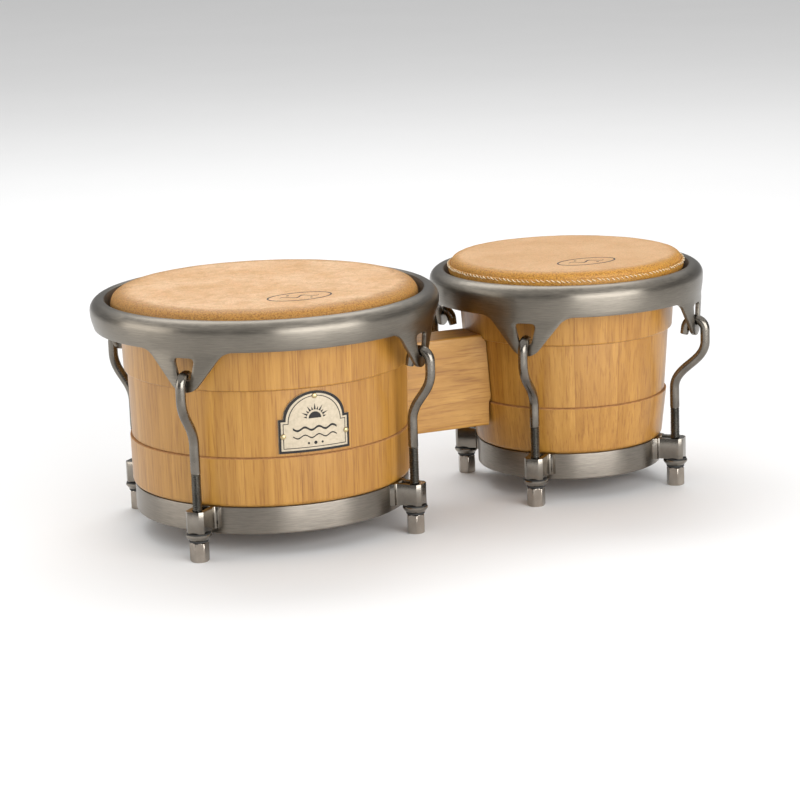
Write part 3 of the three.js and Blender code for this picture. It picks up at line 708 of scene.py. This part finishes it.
def spaced(loop, step):
    """A closed loop of points with none further apart than step."""
    points = []
    for i, a in enumerate(loop):
        b = loop[(i + 1) % len(loop)]
        count = max(1, math.ceil(math.dist(a, b) / step))
        across, up = b[0] - a[0], b[1] - a[1]
        points += [(a[0] + across * k / count, a[1] + up * k / count) for k in range(count)]
    return points


# ---- Rims ----
def ear_side(size):
    """The right half of an ear's edge in (across, height), from the tip to the skirt's edge."""
    band = size["band_bottom"]
    tip = band - EAR_DROP + EAR_TIP_RADIUS
    rise = band - tip
    reach = math.hypot(EAR_HALF_WIDTH, rise)
    tangent = math.atan2(rise, EAR_HALF_WIDTH) - math.acos(EAR_TIP_RADIUS / reach)
    slope = math.degrees(tangent) + 90
    fillet_across = EAR_HALF_WIDTH + EAR_FILLET * math.tan(math.radians(slope) / 2)
    points = arc((0, tip), EAR_TIP_RADIUS, -90, math.degrees(tangent), 6)
    points += arc((fillet_across, band - EAR_FILLET), EAR_FILLET, 90 + slope, 90, 8)
    return points


def slot_outline(size):
    """An ear's slot, wider at the top."""
    low, high = SLOT_HALF_WIDTHS
    top = size["band_bottom"] - SLOT_TOP
    bottom = top - SLOT_HEIGHT
    upper_ease, lower_ease = 3.4 * MM, 3.8 * MM
    return rounded([(-high, top, upper_ease), (-low, bottom, lower_ease), (low, bottom, lower_ease),
                    (high, top, upper_ease)], 5)


def rim_pattern(size, lengths, rows, shoulder):
    """The skirt and ears laid flat, in (length round the skirt, height): their loops, and points inside."""
    band, skirt = size["band_bottom"], size["skirt_radius"]
    lugs = sorted(a % TURN * skirt for a in size["lugs"])
    side, slot = ear_side(size), slot_outline(size)
    gap = 0.008 * skirt  # the least way from an ear to the next point of the skirt's edge
    edge = []
    for lug in lugs:
        past = edge[-1][0] if edge else -1
        edge += [(x, band) for x in lengths if past + gap < x < lug - side[-1][0] - gap]
        edge += [(lug - u, z) for u, z in reversed(side)] + [(lug + u, z) for u, z in side[1:]]
    edge += [(x, band) for x in lengths if x > edge[-1][0] + gap]
    outline = edge + [(lengths[-1], z) for z in rows] + [(x, shoulder) for x in reversed(lengths)]
    outline += [(0, z) for z in reversed(rows)]
    slots = [[(lug + u, z) for u, z in spaced(slot, 2 * MM)] for lug in lugs]
    grid = [Vector((i * 3 * MM, band - k * 3 * MM)) for i in range(-9, 10) for k in range(9)]
    in_ear = [p for p in grid if inside_ear(p, side) and clear_of(p, slot, 1.8 * MM)]
    fill = [(x, z) for x in lengths[1:-1] for z in rows]
    fill += [(lug + p.x, p.y) for lug in lugs for p in in_ear]
    return [outline, *slots], fill


def make_rim(size):
    """One sheet of steel: a rolled top, a tapered skirt and four ears with slots."""
    name, band, skirt = size["name"], size["band_bottom"], size["skirt_radius"]
    shoulder = size["rim_high"] - ROLL_WIDTH
    angles = [TURN * i / RIM_COLUMNS for i in range(RIM_COLUMNS + 1)]
    lengths = [a * skirt for a in angles]
    rows = [band + (shoulder - band) * k / 4 for k in (1, 2, 3)]
    points, keep = cut_sheet(*rim_pattern(size, lengths, rows, shoulder))

    def wrap(point, inset):
        share = min(max((point.y - band) / (shoulder - band), 0), 1)
        radius = skirt + (size["rim_radius"] - skirt) * math.sin(share * math.pi / 2) - inset
        return polar(radius, point.x / skirt, point.y)

    def free(a, b):
        """Whether an edge of the sheet is open: neither under the roll nor at the seam."""
        near, far = sorted((a.x, b.x))
        return min(a.y, b.y) <= shoulder - 1e-6 and far >= 1e-6 and near <= lengths[-1] - 1e-6

    count = len(points)
    verts = [wrap(p, 0) for p in points] + [wrap(p, RIM_SHEET) for p in points]
    faces = [tuple(t) for t in keep] + [tuple(i + count for i in reversed(t)) for t in keep]
    faces += [(a, b, b + count, a + count) for a, b in border(keep) if free(points[a], points[b])]
    roll = rim_roll(size, shoulder)
    start = len(verts)
    for r, z in roll:
        verts += [polar(r, a, z) for a in angles[:-1]]
    for j in range(len(roll) - 1):
        a = start + j * RIM_COLUMNS
        for i in range(RIM_COLUMNS):
            k = (i + 1) % RIM_COLUMNS
            faces.append((a + i, a + k, a + RIM_COLUMNS + k, a + RIM_COLUMNS + i))
    piece = finish_mesh(f"{name}_rim_steel", verts, faces, None, size["axis"], 2e-6, 0.5 * MM)
    put(piece, f"{name}_rim", "steel", ["rim"], f"{name}_rim")


def rim_roll(size, shoulder):
    """The section from the skirt's outer face over the roll, down the inner leg and back to the skirt."""
    top, middle = size["rim_high"], size["rim_radius"] - ROLL_WIDTH
    leg_inner, leg_bottom = size["leg_inner"], size["hoop_high"] + FIT
    leg_outer, ease = leg_inner + RIM_SHEET, 0.5 * MM
    over = arc((middle, shoulder), ROLL_WIDTH, 0, 96, 18)
    nose = [(middle - 1.9 * MM, top - 0.75 * MM), (middle - 2.3 * MM, top - 1.9 * MM)]
    leg = [(leg_inner, leg_bottom + 5 * MM), (leg_inner, leg_bottom + ease), (leg_inner + ease, leg_bottom),
           (leg_outer - ease, leg_bottom), (leg_outer, leg_bottom + ease)]
    back = [(middle + 0.6 * MM, top - 5.5 * MM)]
    back += arc((middle, shoulder), ROLL_WIDTH - RIM_SHEET, 80, 0, 8)
    return over + nose + leg + back


def inside_ear(point, side):
    """Whether a point is in an ear, a little in from its edge."""
    margin = 1.8 * MM
    across = abs(point.x) + margin
    for (u0, z0), (u1, z1) in zip(side, side[1:]):
        if u0 <= across <= u1:
            return point.y > z0 + (z1 - z0) * (across - u0) / max(u1 - u0, 1e-9) + margin * 0.7
    return False


def clear_of(point, loop, margin):
    """Whether a point is outside a loop by at least a margin."""
    if inside(point, [loop]):
        return False
    return all((Vector(p) - point).length > margin for p in spaced(loop, 1.5 * MM))


# ---- Heads and flesh hoops ----
def make_head(size):
    """The skin: a slightly uneven crown, a bend over the shell and a wrap round the flesh hoop."""
    name = size["name"]
    top, outer = size["head_high"], size["skin_radius"]
    corner = SKIN_BEND[name]
    centre = (outer - corner, top - corner)
    wrap, low, wrap_top = size["head_radius"], size["head_low"], size["hoop_high"] - SKIN
    crown = [(outer - corner) * k / 14 for k in range(1, 14)]
    outline = [(0, top - MARK_DEPTH)] + [(r, top) for r in crown] + arc(centre, corner, 90, 0, 12)
    if name == "small":
        outline += tuck_outline(size)
    outline += [(outer, low + SKIN), (wrap - SKIN, low + SKIN), (wrap - SKIN, wrap_top)]
    outline += arc((wrap - SKIN / 2, wrap_top), SKIN / 2, 180, 0, 4)
    outline += [(wrap, low + 0.6 * MM), (wrap - 0.6 * MM, low)]
    outline += [(outer - SKIN + 0.4 * MM, low), (outer - SKIN, low + 0.4 * MM)]
    outline += arc(centre, corner - SKIN, 0, 90, 8)
    outline += [(r, top - SKIN) for r in reversed(crown)] + [(0, top - SKIN - MARK_DEPTH)]

    def wobble(r, z, angle):
        if r > outer + 0.1 * MM or z < top - corner - 6 * MM:
            return r, z
        z -= MARK_DEPTH
        x, y = math.cos(angle), math.sin(angle)
        broad = noise.noise(Vector((x * 2.2, y * 2.2, r * 30 + SKIN_SHIFT[name])))
        fine = noise.noise(Vector((x * 11, y * 11, z * 240)))
        bend = min(max((r - 0.75 * outer) / (0.25 * outer), 0), 1)
        sink = ((0.5 + 0.5 * broad) * 0.55 * MM + (0.5 + 0.5 * fine) * 0.30 * MM) * bend
        return r - sink * 0.55, z - sink
    piece = turned(f"{name}_head_skin", outline, size["axis"], wobble=wobble)
    put(piece, "shells", "rawhide", [f"{name}_hide"], f"{name}_head")


def tuck_outline(size):
    """The skin's folded-back edge, which stands out from the collar just above the rim."""
    inner, outer, top = size["skin_radius"], size["tuck_radius"], size["tuck_top"]
    return [(inner, top + 0.1 * MM), (inner + 0.6 * MM, top), (outer - 0.7 * MM, top - 0.1 * MM),
            (outer - 0.15 * MM, top - 0.4 * MM), (outer, top - MM), (outer, top - 5.5 * MM),
            (inner, top - 6 * MM)]


def make_hoop(size):
    """The steel hoop inside the skin's wrap."""
    name, ease = size["name"], 0.8 * MM
    outer, low, high = size["hoop_radius"], size["hoop_low"], size["hoop_high"]
    inner = outer - size["hoop_bar"]
    outline = rounded([(inner, low, ease), (outer, low, ease), (outer, high, ease), (inner, high, ease)])
    piece = turned(f"{name}_flesh_hoop_bar", outline, size["axis"])
    put(piece, "shells", "steel", ["ring"], f"{name}_flesh_hoop")


def make_stitches():
    """A line of thread loops that closes the small head's tucked edge, just above its rim."""
    size, sections = SIZE["small"], 7
    radius = size["tuck_radius"] - 0.2 * MM
    pitch = TURN / STITCHES
    random.seed(4)
    verts, faces = [], []
    for i in range(STITCHES):
        middle = pitch * (i + random.uniform(-0.12, 0.12))
        reach = random.uniform(0.34, 0.44) * pitch
        height = size["tuck_top"] - random.uniform(0.7, 1.5) * MM
        path = []
        for k in range(sections):
            t = k / (sections - 1)
            angle = middle + reach * (2 * t - 1)
            r = radius + (0.15 + 0.75 * math.sin(math.pi * t)) * MM
            path.append(polar(r, angle, height + (0.9 - 1.8 * t) * MM))
        thick = random.uniform(0.22, 0.42) * MM
        widths = [thick * (0.45 + 0.55 * math.sin(math.pi * (k + 0.5) / sections)) for k in range(sections)]
        points, sides = tube(path, lambda k, _: widths[k], 8, outward_section)
        faces += [tuple(len(verts) + v for v in face) for face in sides]
        verts += points
    piece = finish_mesh("small_head_stitches", verts, faces, origin=size["axis"])
    put(piece, "shells", "rawhide", ["stitch"])


def outward_section(point, ahead):
    """A stitch's two directions across: away from the drum's axis, and along the head's edge."""
    outward = Vector((point.x, point.y, 0)).normalized()
    return outward, ahead.cross(outward)


# ---- Base rings, brackets, hooks, washers and nuts ----
def make_ring(size):
    """A steel band with an inner lip that the shell stands on."""
    name, outer, low, high = size["name"], size["ring_radius"], size["ring_low"], size["ring_high"]
    inner, ease = outer - RING_WALL, 0.7 * MM
    lip = inner - 7 * MM
    outline = rounded([(outer, low, 2 * ease), (outer, high, ease), (inner, high, ease),
                       (inner, low + RING_WALL, ease), (lip, low + RING_WALL, ease), (lip, low, ease)])
    piece = turned(f"{name}_base_ring_steel", outline, size["axis"])
    put(piece, "shells", "steel", ["ring"], f"{name}_base_ring")


def make_bracket(size, lug):
    """A strap bent square round the rod, with feet welded to the ring."""
    node = f"{size['name']}_bracket_{lug}"
    low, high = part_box(node)
    strap, cut = 7 * MM, 2.6 * MM
    back = size["ring_radius"] + 0.05 * MM
    feet, front = back + 2.6 * MM, size["rod_circle"] + strap
    half_foot = strap + 3.6 * MM
    half = [(front, strap - cut, 0.5 * MM), (front - cut, strap, 0.5 * MM),
            (feet + 0.2 * MM, strap, 1.4 * MM), (feet, half_foot, 0.9 * MM)]
    swing = math.degrees(math.asin(half_foot / back))
    outer = arc((0, 0), back, swing, -swing, 10)
    outer += rounded([(x, -y, ease) for x, y, ease in reversed(half)] + half, 3)
    hole = [(feet, ROD_HOLE), (feet, -ROD_HOLE)] + arc((size["rod_circle"], 0), ROD_HOLE, -90, 90, 12)
    place = at_lug(size, lug)
    verts, faces = slabs([[outer, hole]], level(place, low.z), level(place, high.z))
    piece = finish_mesh(node + "_strap", verts, faces, bevel=0.45 * MM)
    put(piece, "shells", "dark_steel", ["bracket"], node)


def hook_path(size, low):
    """The hook's centre line in its own plane, from the rod's lower end over the ear to the inner stub."""
    outer, inner, circle = size["hook_outer"], size["hook_inner"], size["rod_circle"]
    bend = (outer - inner) / 2
    slot_bottom = size["band_bottom"] - SLOT_TOP - SLOT_HEIGHT
    rise = math.sqrt((bend - ROD_RADIUS) ** 2 - (RIM_SHEET / 2) ** 2)
    bend_height = slot_bottom - rise + FIT
    bend_end = slot_bottom - BEND_DROP[size["name"]]
    bend_start = bend_end - BEND_RISE
    thread_top = THREAD_TOP[size["name"]]
    step = THREAD_PITCH / 8
    path = [Vector((circle, 0, low + i * step)) for i in range(int((thread_top - low) / step))]
    threaded = len(path)
    path += [Vector((circle, 0, thread_top + 0.6 * MM)), Vector((circle, 0, bend_start - 4 * MM))]
    ease = BEND_EASE * BEND_RISE
    controls = [Vector((circle, 0, bend_start)), Vector((circle, 0, bend_start + ease)),
                Vector((outer, 0, bend_end - ease)), Vector((outer, 0, bend_end))]
    for i in range(25):
        t = i / 24
        a, b, c = (p.lerp(q, t) for p, q in zip(controls, controls[1:]))
        path.append(a.lerp(b, t).lerp(b.lerp(c, t), t))
    path += [Vector((inner + bend + x, 0, bend_height + z)) for x, z in arc((0, 0), bend, 0, 172, 18)]
    path.append(path[-1] + (path[-1] - path[-2]).normalized() * 5 * MM)
    return path, threaded


def make_hook(size, lug):
    """A round rod, threaded at its lower end, whose upper end bends through the ear's slot."""
    node, sides = f"{size['name']}_hook_{lug}", 24
    path, threaded = hook_path(size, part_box(node)[0].z)
    last = len(path) - 1

    def radius_at(i, angle):
        if i < 2:
            return ROD_RADIUS - 0.6 * MM
        if i >= threaded:
            return ROD_RADIUS * (0.86 if i == last else 1)
        phase = (path[i].z / THREAD_PITCH - angle / TURN) % 1
        return ROD_RADIUS - THREAD_DEPTH * abs(2 * phase - 1)

    def across(_, ahead):
        return Vector((ahead.z, 0, -ahead.x)), Vector((0, 1, 0))
    verts, faces = tube(path, radius_at, sides, across)
    slots = [1 if i // sides < threaded - 1 else 0 for i in range(len(faces) - 2)] + [1, 0]
    place = at_lug(size, lug)
    piece = finish_mesh(node + "_rod", [place @ v for v in verts], faces, slots, merge=1e-7)
    put(piece, f"{size['name']}_rim", "steel", ["rod", "thread"], node)


def make_washer(size, lug):
    """A rubber ring, a dished steel washer and a second rubber ring, on one axis."""
    node = f"{size['name']}_washer_{lug}"
    low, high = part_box(node)
    spot, outer, z0, z1 = centre_of(node), (high.x - low.x) / 2, low.z, high.z
    lower, upper = outer - 2.3 * MM, outer - 0.6 * MM
    outline = [(ROD_HOLE, z0), (lower - 0.4 * MM, z0), (lower, z0 + 0.4 * MM), (lower, z0 + 1.3 * MM),
               (lower - 0.8 * MM, z0 + 1.4 * MM), (lower + 0.1 * MM, z0 + 1.6 * MM),
               (lower + 0.6 * MM, z0 + 2.1 * MM), (outer - 0.5 * MM, z0 + 3.6 * MM), (outer, z0 + 4.3 * MM),
               (outer, z1 - 1.3 * MM), (outer - 0.4 * MM, z1 - 0.8 * MM), (upper - 0.6 * MM, z1 - 0.7 * MM),
               (upper, z1 - 0.6 * MM), (upper, z1), (ROD_HOLE, z1)]

    def slot_of(a, _):
        return 0 if z0 + 1.35 * MM < a[1] < z1 - 0.75 * MM and a[0] > ROD_HOLE + MM else 1
    piece = turned(node + "_stack", outline, (spot.x, spot.y, 0), 48, slot_of)
    put(piece, "shells", "dark_steel", ["bracket", "rubber"], node)


def make_nut(size, lug):
    """A long hexagon nut with turned ends, closed at the bottom and bored at the top."""
    node = f"{size['name']}_nut_{lug}"
    low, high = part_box(node)
    spot = centre_of(node)
    corner = NUT_FLATS / math.cos(math.pi / 6)
    chamfer, floor = 0.9 * MM, low.z + 2 * MM
    ends = [(corner - chamfer, 0), (corner - chamfer * 0.45, 0.35 * MM), (corner, 0.9 * MM)]
    outline = [(0, low.z)] + [(r, low.z + rise) for r, rise in ends]
    outline += [(r, high.z - drop) for r, drop in reversed(ends)]
    outline += [(ROD_HOLE, high.z), (ROD_HOLE, floor), (0, floor)]

    def hexagon(r, z, angle):
        side = NUT_FLATS / math.cos((angle + math.pi / 6) % (math.pi / 3) - math.pi / 6)
        return min(r, side), z
    piece = turned(node + "_hexagon", outline, (spot.x, spot.y, 0), 96, wobble=hexagon)
    piece.data.transform(Matrix.Rotation(size["lugs"][lug - 1] + math.pi / 6, 4, "Z"))
    put(piece, f"{size['name']}_nut_{lug}", "dark_steel", ["nut"], node)


# ---- Badge, pins and head marks ----
def badge_outline(inset=0.0, steps=40):
    """The badge's arched outline, in (across, height), pulled in by inset."""
    low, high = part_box("badge")
    half, run = BADGE_HALF_WIDTH - inset, BADGE_ARCH_HALF_WIDTH - inset
    shoulder, rise = low.z + BADGE_SHOULDER - inset, high.z - low.z - BADGE_SHOULDER
    points = [(-half, low.z + inset), (half, low.z + inset), (half, shoulder), (run, shoulder)]
    for i in range(1, steps):
        angle = math.pi * i / steps
        points.append((run * math.cos(angle), shoulder + rise * math.sin(angle)))
    return spaced(points + [(-run, shoulder), (-half, shoulder)], 2 * MM)


def on_shell(name, cutouts, lift, thickness, look, nodes=(), bevel=0.0):
    """Flat cut-outs, bent round the large shell's middle band at the badge's place."""
    size = SIZE["large"]
    middle = round_axis(size, centre_of("badge_pin_top"))[1]

    def wrap(point, height):
        r = middle_radius(size, point.y) + height
        return polar(r, middle + point.x / r, point.y)
    verts, faces = slabs(cutouts, lambda p: wrap(p, lift), lambda p: wrap(p, lift + thickness), grid_inside)
    piece = finish_mesh(name, verts, faces, origin=size["axis"], merge=1e-7, bevel=bevel)
    put(piece, "shells", "badge_plate", [look], *nodes)


def ring_loop(centre, radius, steps=28, squash=1.0):
    """A closed circle, or an oval when squashed."""
    x, y = centre
    angles = [TURN * i / steps for i in range(steps)]
    return [(x + radius * math.cos(a), y + radius * squash * math.sin(a)) for a in angles]


def ribbon(line, half_width):
    """A closed outline along a line of points; half_width gives its reach up and down at an x."""
    return [(x, y - half_width(x)) for x, y in line] + [(x, y + half_width(x)) for x, y in reversed(line)]


def badge_sun(centre):
    """A half disc under eleven short rays."""
    count, foot, wide = 11, 6 * MM, 0.75 * MM
    marks = []
    for i in range(count):
        angle = math.pi * (i + 0.5) / count
        x, y = math.cos(angle), math.sin(angle)
        tip = 10.5 * MM if i % 2 else 8.5 * MM
        marks.append([[(centre[0] + x * d - y * w, centre[1] + y * d + x * w)
                       for d, w in ((foot, -wide), (tip, 0), (foot, wide))]])
    return marks + [[[p for p in ring_loop(centre, 4.6 * MM) if p[1] >= centre[1] - 1e-6]]]


def make_badge():
    """A cream plate with a black edge, a fine line, and a sunburst over two waves and three dots."""
    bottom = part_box("badge")[0].z
    gap, plate = 0.3 * MM, 1 * MM
    on_shell("badge_plate", [[badge_outline()]], gap, plate, "cream", ["badge"], 0.15 * MM)
    lines = [[badge_outline(outer), badge_outline(inner)]
             for outer, inner in ((0.02 * MM, 1.7 * MM), (3.1 * MM, 3.6 * MM))]
    on_shell("badge_border", lines, gap + plate, PRINT, "black")
    marks = badge_sun((0, bottom + BADGE_SHOULDER - 0.5 * MM))
    for level_up, wide in ((16.5 * MM, 0.75 * MM), (11 * MM, 0.45 * MM)):
        wave = [(x * MM, bottom + level_up + 1.1 * MM * math.sin(x * 0.62)) for x in range(-16, 17)]
        marks.append([ribbon(wave, lambda _: wide)])
    for x, radius in ((0, 1.2 * MM), (-5 * MM, 0.8 * MM), (5 * MM, 0.8 * MM)):
        marks.append([ring_loop((x, bottom + 6.2 * MM), radius)])
    on_shell("badge_ornament", marks, gap + plate, PRINT, "black")


def make_pins():
    """Three domed pins through the badge, pointing out from the shell."""
    size, head, tall, shank = SIZE["large"], 1.9 * MM, 0.9 * MM, 0.9 * MM
    outline = [(0, tall)]
    for angle in range(10, 91, 10):
        turn = math.radians(angle)
        outline.append((head * math.sin(turn), tall * math.cos(turn)))
    outline += [(shank, 0), (shank, -6.5 * MM), (0, -6.8 * MM)]
    for side in ("top", "left", "right"):
        node = f"badge_pin_{side}"
        spot = centre_of(node)
        angle = round_axis(size, spot)[1]
        radius = max(round_axis(size, v.co)[0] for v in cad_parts[node].data.vertices)
        place = Matrix.Translation(size["axis"]) @ Matrix.Rotation(angle, 4, "Z")
        place = place @ Matrix.Translation((radius - tall, 0, spot.z)) @ Matrix.Rotation(TURN / 4, 4, "Y")
        piece = turned(node + "_dome", outline, steps=32)
        piece.data.transform(place)
        put(piece, "shells", "badge_pins", ["pin"], node)


def make_head_mark(size, centre, half_long, half_short, turn=0.05):
    """A thin printed oval with a plain wave and two dots inside it, on the crown."""
    line, reach = 1.2 * MM, half_long * 0.62
    oval = [ring_loop((0, 0), half_long - inset, 64, (half_short - inset) / (half_long - inset))
            for inset in (0, line)]
    wave = [(reach * x / 12, 0.22 * half_short * math.sin(x * 0.52)) for x in range(-12, 13)]
    cutouts = [oval, [ribbon(wave, lambda x: 0.9 * MM * (1 - abs(x) / reach * 0.8))]]
    for side in (-1, 1):
        cutouts.append([ring_loop((side * half_long * 0.25, -side * half_short * 0.48), MM, 16)])
    place = Matrix.Translation((*centre, 0)) @ Matrix.Rotation(turn, 4, "Z")
    low, high = size["head_high"] - 2 * MARK_DEPTH, size["head_high"] - 0.4 * MARK_DEPTH
    verts, faces = slabs(cutouts, level(place, low), level(place, high))
    piece = finish_mesh(f"{size['name']}_head_mark", verts, faces, origin=size["axis"], merge=1e-7)
    put(piece, "shells", "rawhide", ["ink"])


# ---- Build ----
for drum in DRUMS:
    for make in (make_shell, make_head, make_hoop, make_rim, make_ring):
        make(SIZE[drum])
    for lug in LUGS:
        for make in (make_bracket, make_hook, make_washer, make_nut):
            make(SIZE[drum], lug)
make_block()
make_stitches()
make_badge()
make_pins()
make_head_mark(SIZE["large"], (0.0030, -0.0632), 24 * MM, 14.5 * MM)
make_head_mark(SIZE["small"], (-0.0045, -0.0432), 23.5 * MM, 13.5 * MM)
for drum in DRUMS:
    for i in (1, 2):
        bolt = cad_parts[f"{drum}_block_bolt_{i}"]
        bolt.data.materials.clear()
        bolt.data.materials.append(MATERIALS["bracket"])


# ---- Stage and light ----
def make_floor():
    mesh = bpy.data.meshes.new("floor")
    reach = 40
    corners = [(-reach, -reach, 0), (reach, -reach, 0), (reach, reach, 0), (-reach, reach, 0)]
    mesh.from_pydata(corners, [], [(0, 1, 2, 3)])
    floor = bpy.data.objects.new("floor", mesh)
    bpy.context.scene.collection.objects.link(floor)
    nodes = Nodes("floor_paint")
    cloud = nodes.noise(nodes.object, 3.0)
    paint = nodes.set(Base_Color=nodes.ramp(cloud, (0.0, 0.80), (1.0, 0.83)), Roughness=0.9)
    floor.data.materials.append(paint)


def make_light(name, place, target, size, power, colour=(1, 1, 1)):
    """A soft box that faces its target."""
    data = bpy.data.lights.new(name, "AREA")
    data.shape = "RECTANGLE"
    data.size, data.size_y = size
    data.energy = power
    data.color = colour
    light = bpy.data.objects.new(name, data)
    light.location = place
    light.rotation_mode = "QUATERNION"
    light.rotation_quaternion = (Vector(target) - Vector(place)).to_track_quat("-Z", "Y")
    bpy.context.scene.collection.objects.link(light)


def make_world():
    world = bpy.data.worlds.new("studio")
    world.use_nodes = True
    inputs = world.node_tree.nodes["Background"].inputs
    inputs["Color"].default_value = (1, 1, 1, 1)
    inputs["Strength"].default_value = 0.27
    bpy.context.scene.world = world


make_floor()
make_world()
MIDDLE = (0, 0, 0.1)
make_light("front_box", (0.30, -1.45, 0.46), MIDDLE, (1.55, 0.9), 25)
make_light("left_box", (-1.65, 0.35, 0.5), MIDDLE, (1.2, 0.9), 10, (1, 0.97, 0.93))
make_light("top_box", (0.3, 1.3, 2.0), (0.1, 0.3, 0), (2.2, 1.2), 27)
make_light("ceiling", (0, 2.2, 3.4), (0, 2.2, 0), (11, 11), 235)
